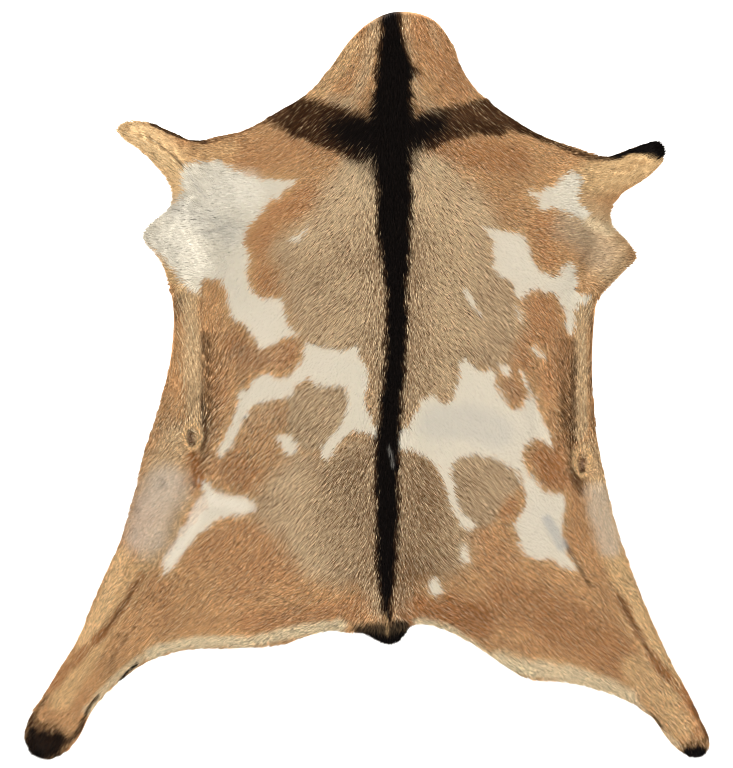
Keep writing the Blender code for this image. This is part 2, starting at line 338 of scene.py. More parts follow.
# Tints of the plain hair, laid on in this order
TINTS = (
    Wash("left cheek of the neck", Pigment.RUST, 11, 0.7, ((-18, 415), (-6, 432))),
    Wash("right cheek of the neck", Pigment.RUST, 10, 0.8, ((69, 441), (66, 434))),
    Wash("left shoulder", Pigment.RUST, 26, 0.5, ((-68, 287), (-104, 283), (-140, 273))),
    Wash("left elbow", Pigment.RUST, 24, 0.8, ((-112, 212), (-84, 214), (-76, 226))),
    Wash("left elbow foot", Pigment.RUST, 22, 0.6, ((-124, 196), (-128, 165))),
    Wash("left rib spot", Pigment.CHESTNUT, 19, 0.4, ((-121, 131), (-119, 122))),
    Wash("left ribs", Pigment.CHESTNUT, 24, 0.75, ((-158, 48), (-136, 35), (-98, 40))),
    Wash("left ribs lower", Pigment.RUST, 17, 0.5, ((-182, 18), (-174, -18))),
    Wash("left belly", Pigment.RUST, 24, 0.4, ((-138, -36), (-114, -36))),
    Wash("left belly lower", Pigment.CHESTNUT, 26, 0.6, ((-164, -92), (-146, -111))),
    Wash("left haunch", Pigment.RUST, 41, 0.5,
        ((-200, -192), (-158, -186), (-116, -204), (-152, -234))),
    Wash("left rump", Pigment.RUST, 22, 0.8, ((-20, -272), (-80, -280), (-140, -284))),
    Wash("tail root", Pigment.RUST, 18, 0.7, ((-4, -266), (24, -262), (52, -264))),
    Wash("right shoulder", Pigment.CHESTNUT, 30, 0.68, ((88, 283), (136, 277), (178, 272))),
    Wash("right elbow", Pigment.RUST, 19, 0.55, ((214, 205), (208, 175), (220, 148))),
    Wash("right ribs", Pigment.RUST, 29, 0.9, ((214, 96), (202, 60), (184, 30))),
    Wash("right ribs outer", Pigment.RUST, 22, 0.7, ((226, 78), (232, 42), (222, 0))),
    Wash("right flank spot", Pigment.CHESTNUT, 17, 0.8, ((172, 0), (178, -15))),
    Wash("right belly spot", Pigment.CHESTNUT, 30, 0.95, ((220, -84), (224, -108))),
    Wash("right flank island", Pigment.RUST, 18, 0.7, ((166, -132), (172, -147))),
    Wash("right hip", Pigment.RUST, 31, 0.5, ((136, -192), (160, -210))),
    Wash("right rump", Pigment.CHESTNUT, 30, 1.0, ((52, -272), (94, -268), (136, -282))),
    Wash("right haunch", Pigment.CHESTNUT, 44, 0.6, ((172, -258), (232, -282), (292, -318))),
    Wash("left foreleg", Pigment.HONEY, 31, 1.0, ((-299, 310), (-263, 293), (-237, 265), (-229, 229))),
    Wash("left armpit rim", Pigment.GOLD, 11, 0.9, ((-244, 153), (-232, 125), (-220, 112))),
    Wash("left flank band", Pigment.TAN, 16, 0.9,
        ((-215, 105), (-209, 60), (-209, 12), (-205, -30), (-199, -59))),
    Wash("left groin", Pigment.TAN, 33, 0.9, ((-229, -66), (-241, -96), (-249, -126))),
    Wash("left thigh rim", Pigment.GOLD, 20, 0.8,
        ((-225, -138), (-261, -204), (-299, -264), (-337, -324), (-369, -378))),
    Wash("left thigh edge", Pigment.HONEY, 16, 0.75, ((-294, -206), (-313, -255), (-340, -308))),
    Wash("left thigh inside", Pigment.TAN, 12, 0.6, ((-217, -126), (-234, -174), (-258, -212))),
    Wash("right foreleg", Pigment.GOLD, 32, 1.0, ((270, 247), (310, 259), (352, 277))),
    Wash("right armpit", Pigment.TAN, 46, 0.9, ((262, 196), (290, 172), (292, 146))),
    Wash("right flank band", Pigment.TAN, 12, 0.9, ((263, 96), (256, 48), (257, -6), (255, -54))),
    Wash("right groin", Pigment.TAN, 20, 0.8, ((270, -80), (280, -114))),
    Wash("right thigh rim", Pigment.GOLD, 22, 1.0,
        ((278, -126), (294, -192), (316, -256), (342, -312), (371, -366))),
    Wash("right shin", Pigment.GOLD, 24, 0.8, ((322, -340), (350, -376), (374, -408))),
    Wash("neck left rim", Pigment.GOLD, 16, 0.6, ((-18, 409), (-37, 379), (-61, 352))),
    Wash("right side of the neck", Pigment.RUST, 30, 0.9, ((72, 424), (88, 394), (112, 356))),
    Wash("left shoulder top", Pigment.GOLD, 14, 0.4, ((-164, 283), (-200, 280), (-222, 280))),
    Wash("left rump edge", Pigment.CREAM, 11, 0.95,
        ((-261, -324), (-227, -312), (-182, -308), (-134, -307), (-80, -295), (-32, -289))),
    Wash("right rump edge", Pigment.CREAM, 10, 0.9,
        ((64, -286), (94, -294), (130, -316), (166, -336), (196, -344))),
    Wash("right rump apron", Pigment.CREAM, 18, 0.85,
        ((160, -330), (194, -340), (232, -346), (274, -359), (316, -378))),
    Wash("left hind inside", Pigment.CREAM, 8, 0.7, ((-337, -392), (-309, -359), (-273, -330))),
    Wash("right hind inside", Pigment.CREAM, 6, 0.6, ((328, -385), (352, -412), (374, -433))),
    Wash("neck left of the stripe", Pigment.CREAM, 11, 0.12,
        ((9, 439), (4, 397), (-6, 357), (-20, 336))),
    Wash("neck right of the stripe", Pigment.CREAM, 11, 0.1,
        ((43, 444), (48, 403), (55, 362), (73, 333))),
    Wash("neck right streak", Pigment.CREAM, 7, 0.15, ((76, 434), (85, 409))),
    Wash("left withers", Pigment.CREAM, 17, 0.5, ((-18, 263), (-6, 249), (-1, 223))),
    Wash("right withers", Pigment.CREAM, 17, 0.5, ((59, 251), (69, 263), (88, 259))),
)

# Dark hair over the tints and the grizzle, with painted shade in the flank folds, below the whorls and
# along the thigh folds
SHADES = (
    Wash("right shoulder bar", Pigment.SABLE, 25, 0.95,
        ((78, 311), (100, 319), (126, 324), (155, 327), (184, 318))),
    Wash("right shoulder bar edge", Pigment.SABLE, 11, 0.75,
        ((133, 337), (160, 333), (189, 314), (208, 301))),
    Wash("left shoulder bar haze", Pigment.UMBER, 34, 0.4, ((-30, 306), (-70, 316), (-104, 322))),
    Wash("right shoulder bar haze", Pigment.UMBER, 30, 0.4, ((84, 308), (126, 318), (164, 320))),
    Wash("left shoulder bar", Pigment.SABLE, 27, 1.0,
        ((-18, 309), (-40, 318), (-61, 326), (-83, 330), (-102, 328))),
    Wash("left shoulder bar foot", Pigment.SABLE, 18, 1.0,
        ((-12, 276), (-30, 288), (-56, 299), (-88, 308))),
    Wash("middle of the cross", Pigment.BLACK, 30, 0.95, ((-14, 302), (30, 292), (74, 306))),
    Wash("left shoulder bar end", Pigment.UMBER, 14, 0.55, ((-102, 328), (-121, 324))),
    Wash("right shoulder bar foot", Pigment.SABLE, 13, 0.85,
        ((78, 292), (102, 302), (131, 307), (160, 307))),
    Wash("right shoulder rim", Pigment.SABLE, 6, 0.72,
        ((184, 308), (226, 291), (268, 275), (302, 274))),
    Wash("left foreleg rim", Pigment.SABLE, 4, 0.85,
        ((-261, 315), (-237, 304), (-213, 296), (-193, 293))),
    Wash("left shoulder rim", Pigment.UMBER, 5, 0.5, ((-193, 293), (-158, 303), (-126, 316))),
    Wash("left foreleg parting", Pigment.UMBER, 3, 0.55,
        ((-263, 299), (-246, 286), (-228, 271), (-213, 256))),
    # Dark hair with painted shade: the hollow of the flank fold, and its shadow by the seam
    Wash("left flank hollow", Pigment.UMBER, 15, 0.36,
        ((-190, 60), (-185, 28), (-185, -8), (-188, -48), (-194, -84), (-205, -126))),
    Wash("left flank hollow by the seam", Pigment.SABLE, 8, 0.3,
        ((-193, 54), (-194, 16), (-196, -22), (-196, -61), (-199, -92), (-209, -116))),
    # Painted shadow: the dark line where the flank roll drops into the seam
    Wash("left flank seam", Pigment.UMBER, 3, 0.45, ((-198, 119), (-198, 81), (-198, 48))),
    Wash("left flank fringe", Pigment.UMBER, 16, 0.2,
        ((-174, 66), (-172, 30), (-174, -8), (-179, -46))),
    Wash("left flank roll", Pigment.TAN, 9, 1.0,
        ((-213, 114), (-209, 66), (-207, 28), (-205, -8), (-204, -42), (-204, -56))),
    # Dark hair with painted shade: the hollow of the flank fold, and its shadow by the seam
    Wash("right flank hollow", Pigment.UMBER, 15, 0.44,
        ((245, 48), (242, 16), (242, -20), (245, -54), (250, -84), (258, -121))),
    Wash("right flank hollow by the seam", Pigment.SABLE, 8, 0.34,
        ((249, 30), (248, -3), (248, -36), (248, -66), (248, -87), (256, -114))),
    Wash("right flank fringe", Pigment.UMBER, 14, 0.25, ((232, 60), (227, 24), (228, -18), (234, -54))),
    Wash("right flank roll", Pigment.TAN, 7.5, 1.0,
        ((254, 102), (256, 66), (258, 28), (260, -12), (260, -42), (256, -63))),
    Wash("right flank rim", Pigment.UMBER, 6, 0.5,
        ((270, 81), (270, 48), (269, 12), (270, -24), (274, -56))),
    # Painted shadow under the curled rim of the left flank
    Wash("left flank rim", Pigment.UMBER, 9, 0.45, ((-227, 105), (-228, 88), (-233, 66))),
    # Chestnut hair with painted shade below the left whorl
    Wash("left flank under the whorl", Pigment.CHESTNUT, 10, 0.8,
        ((-210, -86), (-206, -103), (-201, -119))),
    Wash("left whorl ring", Pigment.GOLD, 4.5, 0.9,
        ((-210, -47), (-203, -52), (-200, -62), (-203, -72), (-210, -77), (-217, -72), (-220, -62),
         (-217, -52), (-210, -47))),
    Wash("left whorl", Pigment.UMBER, 6, 1.0, ((-211, -56), (-213, -63), (-211, -70))),
    # Painted shadow: the seam's dark line carried round the whorl
    Wash("left whorl rim", Pigment.UMBER, 4, 0.6, ((-199, -13), (-196, -46), (-194, -63), (-199, -78))),
    # Dark hair with painted shade below the right whorl
    Wash("right flank under the whorl", Pigment.UMBER, 8, 0.5, ((248, -106), (252, -118), (256, -130))),
    Wash("right whorl ring", Pigment.GOLD, 4.5, 0.9,
        ((259, -74), (266, -80), (268, -91), (266, -102), (260, -109), (253, -103), (250, -91),
         (252, -80), (259, -74))),
    Wash("right whorl", Pigment.UMBER, 6, 1.0, ((260, -90), (259, -96), (259, -102))),
    Wash("left thigh parting haze", Pigment.CHESTNUT, 9, 0.5,
        ((-272, -230), (-290, -260), (-306, -284), (-326, -308))),
    Wash("left thigh parting", Pigment.UMBER, 3, 0.5,
        ((-276, -236), (-290, -260), (-306, -284), (-322, -304))),
    Wash("left thigh parting end", Pigment.CHESTNUT, 9, 0.4,
        ((-316, -296), (-342, -322), (-362, -344), (-380, -366))),
    # Painted shade along the fold of the left thigh
    Wash("left thigh fold", Pigment.UMBER, 12, 0.16,
        ((-273, -229), (-292, -258), (-316, -294), (-340, -323))),
    Wash("left shin red", Pigment.CHESTNUT, 12, 0.3, ((-340, -318), (-357, -340), (-371, -359))),
    Wash("left shin streak", Pigment.UMBER, 3.5, 0.4,
        ((-270, -276), (-284, -296), (-298, -316), (-312, -336))),
    Wash("left shin", Pigment.UMBER, 7, 0.14, ((-306, -313), (-325, -335), (-347, -366))),
    Wash("left hind rim", Pigment.SABLE, 4, 0.6, ((-384, -374), (-396, -390), (-406, -409))),
    Wash("left hind cuff", Pigment.SABLE, 15, 0.6, ((-407, -407), (-393, -412), (-376, -413))),
    Wash("left hind cuff right", Pigment.SABLE, 6, 0.8, ((-359, -429), (-347, -416), (-341, -404))),
    Wash("left hind inner rim", Pigment.SABLE, 3, 0.8, ((-340, -400), (-333, -385), (-324, -374))),
    Wash("left hind inner edge", Pigment.BLACK, 3, 0.9, ((-276, -335), (-286, -343), (-297, -354))),
    Wash("right thigh parting haze", Pigment.CHESTNUT, 9, 0.5,
        ((303, -254), (315, -276), (328, -300), (342, -326), (358, -350))),
    Wash("right thigh parting", Pigment.UMBER, 3.5, 0.5,
        ((303, -254), (315, -276), (328, -300), (342, -326), (356, -348))),
    Wash("right thigh parting end", Pigment.CHESTNUT, 9, 0.5,
        ((346, -330), (366, -354), (384, -374), (400, -398))),
    # Painted shade along the fold of the right thigh
    Wash("right thigh fold", Pigment.UMBER, 12, 0.18,
        ((299, -246), (326, -296), (355, -342), (381, -378))),
    Wash("right shin red", Pigment.CHESTNUT, 14, 0.5, ((386, -362), (398, -392), (404, -416))),
    Wash("right hind rim", Pigment.UMBER, 5, 0.7, ((393, -385), (403, -404), (410, -426))),
    Wash("right hind cuff", Pigment.SABLE, 7, 0.6, ((381, -436), (393, -429), (405, -429))),
    Wash("right hind inner edge", Pigment.SABLE, 3, 0.8, ((341, -394), (350, -404), (356, -415))),
    Wash("right haunch parting", Pigment.UMBER, 4, 0.6, ((237, -188), (250, -210), (268, -240))),
    Wash("stripe shoulder", Pigment.SABLE, 5, 0.8, ((55, 378), (63, 374))),
    Wash("left belly rim", Pigment.UMBER, 4, 0.2, ((-241, -102), (-249, -126))),
)

# Skin that shows through thin hair, with painted shade in the armpits' creases and hollows and painted
# light on the left side's white hair
SKIN_TINTS = (
    # Painted light: the left shoulder's and armpit's white made paler, as lit more from the left
    Wash("left shoulder white", Pigment.CHALK, 34, 0.6, ((-148, 234), (-182, 236))),
    Wash("left armpit flap", Pigment.CHALK, 30, 0.5, ((-240, 172), (-210, 148))),
    Wash("left armpit", Pigment.GREY_SKIN, 26, 0.4, ((-228, 212), (-200, 200), (-168, 184))),
    # Painted shade: thin shadow lines in the creases of the left armpit
    Wash("left armpit crease", Pigment.CREASE_GREY, 3.5, 0.4,
        ((-208, 183), (-191, 184), (-176, 188), (-168, 193))),
    Wash("left armpit upper crease", Pigment.CREASE_GREY, 2.5, 0.3,
        ((-217, 208), (-200, 199), (-184, 199), (-169, 205))),
    Wash("left armpit fan", Pigment.CREASE_GREY, 2.5, 0.35, ((-217, 261), (-208, 244), (-196, 227))),
    Wash("left armpit side crease", Pigment.CREASE_GREY, 2.5, 0.35,
        ((-234, 213), (-215, 206), (-200, 208))),
    Wash("left groin", Pigment.BARE_SKIN, 40, 0.62,
        ((-241, -123), (-253, -143), (-263, -164), (-265, -179))),
    # Painted shade in the hollow of the right armpit
    Wash("right armpit hollow", Pigment.CREASE_GREY, 34, 0.25, ((244, 190), (264, 178), (280, 158))),
    Wash("right armpit light", Pigment.CREAM, 11, 0.4, ((266, 197), (278, 192), (292, 186))),
    Wash("right groin", Pigment.BARE_SKIN, 24, 0.55, ((278, -133), (284, -162), (292, -191))),
    # Painted light: the left haunch's white made paler, as lit more from the left
    Wash("left haunch white", Pigment.CHALK, 12, 0.7,
        ((-150, -146), (-192, -138), (-212, -170), (-238, -212))),
    Wash("right flank white", Pigment.GREY_SKIN, 32, 0.4, ((84, -46), (120, -44), (156, -56))),
    Wash("right haunch", Pigment.GREY_SKIN, 10, 0.8, ((218, -162), (227, -179), (234, -193))),
)

# Lines that the hair follows from its roots to its tips, by the place on the hide
HAIR_STROKES: dict[str, tuple[Path, ...]] = {
    "spine": (
        ((30, 448), (30, 307), (30, 102), (27, -78), (25, -210), (27, -308)),
    ),
    "left of the neck": (
        ((7, 434), (0, 400), (-15, 370), (-41, 346)),
        ((-18, 420), (-32, 391), (-56, 362)),
        ((11, 384), (0, 357), (-20, 336), (-52, 314)),
    ),
    "right of the neck": (
        ((49, 436), (59, 410), (78, 388), (102, 364)),
        ((81, 432), (96, 408), (114, 384)),
        ((52, 388), (64, 362), (90, 338), (121, 311)),
    ),
    "left shoulder": (
        ((6, 338), (-20, 311), (-59, 280), (-100, 251), (-136, 239), (-174, 242), (-205, 256)),
        ((-44, 346), (-80, 320), (-119, 292), (-155, 279), (-191, 280)),
        ((-85, 338), (-119, 316), (-152, 299), (-184, 291)),
    ),
    "left foreleg": (
        ((-193, 280), (-225, 285), (-258, 297), (-294, 311)),
        ((-193, 292), (-222, 295), (-249, 305), (-270, 315)),
        ((-196, 244), (-217, 256), (-239, 273), (-265, 290)),
    ),
    "left armpit": (
        ((-126, 220), (-164, 215), (-198, 221), (-227, 231), (-249, 215)),
        ((-152, 184), (-188, 177), (-225, 172), (-263, 177)),
        ((-167, 148), (-196, 141), (-227, 143), (-249, 155)),
    ),
    "left side of the back": (
        ((6, 295), (-18, 263), (-49, 232), (-90, 203), (-126, 179), (-157, 160)),
        ((9, 251), (-6, 218), (-35, 184), (-76, 148), (-116, 110), (-152, 71)),
        ((11, 206), (0, 165), (-24, 128), (-65, 88), (-108, 45), (-152, 2), (-186, -37)),
        ((13, 146), (4, 102), (-19, 64), (-59, 23), (-101, -20), (-143, -63), (-184, -107)),
        ((16, 86), (7, 42), (-14, 0), (-50, -39), (-92, -80), (-134, -122), (-176, -164)),
        ((16, 26), (9, -18), (-12, -61), (-46, -99), (-88, -140), (-132, -183), (-176, -224)),
        ((15, -34), (7, -78), (-12, -121), (-43, -161), (-85, -200), (-131, -239), (-184, -280)),
        ((16, -95), (10, -138), (-8, -179), (-37, -216), (-80, -251), (-131, -282), (-181, -311)),
        ((18, -157), (12, -198), (-3, -236), (-30, -268), (-76, -296)),
        ((21, -234), (11, -263), (-6, -284)),
    ),
    "left flank": (
        ((-157, 148), (-172, 122), (-186, 90), (-194, 59)),
        ((-126, 107), (-152, 78), (-174, 52), (-191, 26)),
        ((-155, 45), (-174, 16), (-192, -15)),
        ((-157, -8), (-176, -32), (-197, -59), (-215, -85)),
        ((-227, 105), (-215, 81), (-207, 50), (-202, 11), (-199, -27), (-199, -54)),
        ((-234, 81), (-223, 54), (-215, 23), (-208, -8), (-202, -34)),
        ((-227, 26), (-234, 4), (-249, -20), (-265, -46)),
        ((-220, -6), (-234, -22), (-251, -46), (-268, -73)),
    ),
    "left groin": (
        ((-220, -46), (-241, -71), (-265, -97), (-280, -121)),
        ((-205, -92), (-229, -116), (-256, -135), (-280, -152)),
        ((-169, -92), (-200, -126), (-232, -162), (-265, -200), (-299, -239)),
    ),
    "left thigh": (
        ((-261, -162), (-285, -193), (-306, -229), (-328, -265), (-349, -306)),
        ((-193, -181), (-234, -224), (-277, -270), (-318, -316), (-357, -361), (-390, -404)),
        ((-181, -227), (-222, -265), (-265, -306), (-306, -349), (-342, -390), (-371, -429)),
        ((-138, -246), (-186, -284), (-234, -316), (-277, -342), (-311, -373)),
    ),
    "right shoulder": (
        ((54, 336), (78, 309), (109, 280), (143, 256), (177, 235), (213, 218)),
        ((102, 362), (129, 333), (162, 304), (201, 280), (237, 266)),
        ((143, 338), (177, 314), (215, 292), (256, 278)),
    ),
    "right foreleg": (
        ((232, 247), (270, 249), (306, 261), (347, 283)),
        ((263, 196), (287, 218), (309, 242), (335, 266)),
        ((242, 273), (280, 273), (316, 280), (350, 290)),
    ),
    "right armpit": (
        ((201, 215), (232, 208), (266, 208), (294, 223)),
        ((203, 184), (239, 175), (278, 167), (318, 160)),
        ((227, 148), (256, 141), (285, 136), (304, 141)),
    ),
    "right side of the back": (
        ((52, 292), (69, 263), (100, 232), (136, 201), (172, 172), (206, 143)),
        ((52, 247), (60, 213), (83, 179), (119, 143), (157, 105), (196, 66)),
        ((51, 191), (59, 153), (82, 118), (119, 81), (157, 42), (196, 4), (232, -32)),
        ((49, 131), (58, 93), (81, 57), (117, 21), (155, -18), (196, -59), (237, -99)),
        ((47, 71), (55, 33), (77, -3), (112, -39), (150, -78), (191, -119), (234, -162)),
        ((45, 9), (53, -27), (73, -63), (107, -99), (145, -138), (186, -179), (230, -219), (273, -260)),
        ((42, -54), (51, -90), (71, -126), (103, -162), (142, -200), (182, -239), (225, -280),
         (270, -320)),
        ((40, -116), (48, -152), (67, -188), (100, -222), (138, -258), (179, -294), (222, -330)),
        ((37, -179), (46, -212), (65, -244), (100, -272), (143, -299)),
        ((33, -239), (42, -265), (59, -282)),
    ),
    "right flank": (
        ((201, 114), (225, 88), (242, 59)),
        ((208, 54), (227, 28), (245, -1)),
        ((213, -3), (232, -27), (249, -56)),
        ((275, 100), (266, 76), (260, 42), (256, 2), (252, -34), (250, -61)),
        ((273, 50), (268, 16), (269, -15), (278, -46)),
    ),
    "right groin": (
        ((268, -56), (278, -92), (287, -128)),
        ((239, -107), (258, -133), (280, -162), (302, -191)),
    ),
    "right thigh": (
        ((261, -176), (287, -210), (314, -244), (340, -282)),
        ((275, -239), (306, -272), (340, -311), (371, -352), (400, -395)),
        ((232, -258), (270, -296), (311, -335), (350, -373), (388, -416), (400, -436)),
        ((184, -263), (222, -296), (263, -330), (306, -364), (347, -400)),
    ),
}
# Paler and darker stretches of the grizzled hair
GRIZZLE_TONES = (
    Tone("left withers", 50.0, 0.16, ((-20, 240), (-50, 215))),
    Tone("left shoulder blade", 40.0, 0.02, ((-70, 190), (-80, 150))),
    Tone("right withers", 50.0, 0.16, ((80, 240), (105, 215))),
    Tone("right shoulder blade", 40.0, 0.08, ((110, 180), (120, 140))),
    Tone("left ribs", 50.0, 0.07, ((-40, 90),)),
    Tone("right ribs", 50.0, 0.1, ((100, 74),)),
    Tone("left loin by the stripe", 32.0, -0.12, ((-6, -90), (-4, -160), (2, -230))),
    Tone("right loin by the stripe", 36.0, -0.16, ((56, -90), (58, -160), (52, -235))),
    Tone("left loin outside", 40.0, 0.14, ((-100, -110), (-100, -150), (-76, -200))),
    Tone("right loin middle", 40.0, -0.1, ((78, -120), (84, -180), (66, -235))),
    Tone("left loin middle", 40.0, -0.05, ((-50, -120), (-40, -190))),
    Tone("left back by the stripe", 16.0, -0.06, ((6, 200), (8, 100), (8, 0))),
    Tone("right back by the stripe", 18.0, -0.08, ((56, 200), (56, 100), (50, 0))),
)

# The rosettes of hair in the flanks
WHORLS = (
    Whorl("left flank", 13.0, -1.0, (-211, -63)),
    Whorl("right flank", 13.0, 1.0, (259, -94)),
)

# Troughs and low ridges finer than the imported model's own folds
CREASES = (
    Crease("left flank seam", 1.6, 7.0, ((-196, 62), (-199, 20), (-197, -20), (-200, -46))),
    Crease("right flank seam", 1.5, 7.0, ((249, 52), (248, 12), (248, -40), (249, -64))),
    Crease("left whorl dimple", 1.2, 8.0, ((-214, -60), (-213, -69))),
    Crease("right whorl dimple", 1.2, 7.0, ((259, -94), (261, -102))),
    Crease("left thigh line", 0.6, 7.0, ((-262, -216), (-284, -250), (-306, -278), (-330, -306))),
    Crease("left shin line", 0.6, 6.0, ((-272, -280), (-290, -304), (-306, -330))),
    Crease("right thigh line", 0.6, 7.0,
        ((298, -244), (318, -286), (338, -320), (362, -346), (384, -372))),
    Crease("right haunch line", 0.6, 6.0, ((237, -190), (252, -214), (272, -242))),
    Crease("left foreleg line", 0.8, 6.0, ((-262, 296), (-240, 282), (-222, 262))),
    Crease("right foreleg line", 1.0, 7.0, ((330, 268), (300, 258), (268, 250))),
    Crease("left groin wave", 1.0, 13.0, ((-246, -120), (-262, -134), (-276, -150))),
    Crease("left armpit ridge", -0.3, 9.0, ((-262, 178), (-236, 176), (-206, 166))),
    Crease("right armpit ridge", -0.9, 11.0, ((316, 176), (296, 152), (270, 136))),
    Crease("neck dimple", 0.8, 12.0, ((60, 372), (84, 350))),
)

# Where the hair is longer or shorter than over the ribs, as a factor at the middle of each place
GROWTHS = (
    Growth("mane", 90.0, 1.25, (30, 392)),
    Growth("withers", 90.0, 1.2, (32, 300)),
    Growth("rump", 110.0, 1.12, (24, -270)),
    Growth("left foreleg", 80.0, 1.25, (-280, 306)),
    Growth("right foreleg", 80.0, 1.25, (340, 280)),
    Growth("left flank", 50.0, 1.5, (-217, 30)),
    Growth("left whorl", 13.0, 0.4, (-211, -63)),
    Growth("right whorl", 13.0, 0.4, (259, -92)),
    Growth("right flank", 50.0, 1.5, (264, 15)),
    Growth("left groin", 70.0, 0.8, (-265, -155)),
    Growth("right groin", 60.0, 0.8, (290, -170)),
    Growth("left shank", 90.0, 0.9, (-375, -400)),
    Growth("right shank", 90.0, 0.9, (385, -400)),
)

# Where hairs differ more or less from each other than over the ribs, as a factor
LIVELINESS = (
    Growth("left shoulder", 75.0, 0.15, (-170, 215)),
    Growth("left armpit", 70.0, 0.08, (-215, 190)),
    Growth("left foreleg", 65.0, 0.25, (-265, 290)),
    Growth("right foreleg", 80.0, 0.1, (325, 270)),
    Growth("right armpit", 60.0, 0.25, (290, 175)),
    Growth("left upper shoulder", 70.0, 0.75, (-110, 290)),
    Growth("right upper shoulder", 70.0, 0.75, (180, 290)),
    Growth("neck", 90.0, 0.8, (50, 400)),
    Growth("left flank", 36.0, 0.25, (-216, 60)),
    Growth("left flank lower", 36.0, 0.25, (-214, 0)),
    Growth("left groin", 70.0, 0.6, (-250, -130)),
    Growth("right flank", 32.0, 0.25, (264, 50)),
    Growth("right flank lower", 32.0, 0.25, (264, -20)),
    Growth("right groin", 60.0, 0.6, (285, -150)),
    Growth("left shank", 90.0, 0.5, (-340, -340)),
    Growth("belly", 70.0, 1.8, (-150, -60)),
    Growth("left rump edge", 45.0, 0.5, (-200, -318)),
    Growth("right rump edge", 60.0, 0.5, (240, -362)),
)


def linear(hex_colour: str) -> tuple[float, float, float, float]:
    """Turns an sRGB hex colour into linear light with full alpha.

    Args:
        hex_colour: The colour as #RRGGBB.

    Returns:
        Red, green, blue and alpha, each from 0 to 1.
    """
    shades = [int(hex_colour[i:i + 2], 16) / 255 for i in (1, 3, 5)]
    light = [s / 12.92 if s <= 0.04045 else ((s + 0.055) / 1.055) ** 2.4 for s in shades]
    return light[0], light[1], light[2], 1.0


def add_node(
    tree: bpy.types.NodeTree,
    kind: str,
    values: dict | None = None,
    links: dict | None = None,
    **settings: object,
) -> bpy.types.Node:
    """Adds a node with its settings, socket values and links.

    Args:
        tree: The material's or world's node tree.
        kind: Blender's name for the node.
        values: Fixed values, by input socket name or number.
        links: Output sockets that feed inputs, by input socket name or number.
        settings: The node's own properties.

    Returns:
        The new node.
    """
    node = tree.nodes.new(kind)
    for name, value in settings.items():
        setattr(node, name, value)
    for socket, value in (values or {}).items():
        node.inputs[socket].default_value = value
    for socket, source in (links or {}).items():
        tree.links.new(source, node.inputs[socket])
    return node


def smooth_step(share: Array) -> Array:
    """A soft ramp from 0 at share 0 to 1 at share 1."""
    s = np.clip(share, 0.0, 1.0)
    return s * s * (3.0 - 2.0 * s)


def smooth_path(points: Sequence[Point], closed: bool, parts: int = 5) -> Array:
    """Draws a smooth curve through given points.

    Args:
        points: The points in order, in millimetres.
        closed: Whether the curve runs back to its first point.
        parts: Pieces that each stretch between two points is drawn in.

    Returns:
        The curve's points, one row each.
    """
    knots = np.array(points, float)
    if len(knots) < 3:
        steps = np.linspace(0.0, 1.0, parts + 1)[:, None]
        return knots[0] + (knots[-1] - knots[0]) * steps
    if closed:
        ring = np.vstack([knots[-1], knots, knots[0], knots[1]])
    else:
        ring = np.vstack([2 * knots[0] - knots[1], knots, 2 * knots[-1] - knots[-2]])
    drawn = []
    for a, b, c, d in zip(ring, ring[1:], ring[2:], ring[3:]):
        for t in np.arange(parts) / parts:
            bend = 2 * b + (c - a) * t + (2 * a - 5 * b + 4 * c - d) * t**2
            drawn.append(0.5 * (bend + (3 * b - a - 3 * c + d) * t**3))
    if not closed:
        drawn.append(ring[-2])
    return np.array(drawn)


def path_distance(x: Array, y: Array, path: Array) -> Array:
    """Distance from each place to the nearest point of a drawn path.

    Args:
        x: Places across the hide.
        y: Places along the hide.
        path: The path's points, one row each.

    Returns:
        The distances, in the shape of x.
    """
    nearest = np.full(np.shape(x), np.inf)
    for (ax, ay), (bx, by) in zip(path, path[1:]):
        run_x = bx - ax
        run_y = by - ay
        length = max(run_x**2 + run_y**2, 1e-9)
        share = np.clip(((x - ax) * run_x + (y - ay) * run_y) / length, 0.0, 1.0)
        gap = np.hypot(x - ax - share * run_x, y - ay - share * run_y)
        nearest = np.minimum(nearest, gap)
    return nearest


def is_within(x: Array, y: Array, ring: Array) -> Array:
    """Tells which places lie inside a closed ring of points.

    Args:
        x: Places across the hide.
        y: Places along the hide.
        ring: The ring's points, the last joining the first.

    Returns:
        True where a place is inside.
    """
    inside = np.zeros(np.shape(x), bool)
    for (ax, ay), (bx, by) in zip(ring, np.roll(ring, -1, axis=0)):
        if ay == by:
            continue
        crosses = (ay > y) != (by > y)
        inside ^= crosses & (x < ax + (y - ay) * (bx - ax) / (by - ay))
    return inside


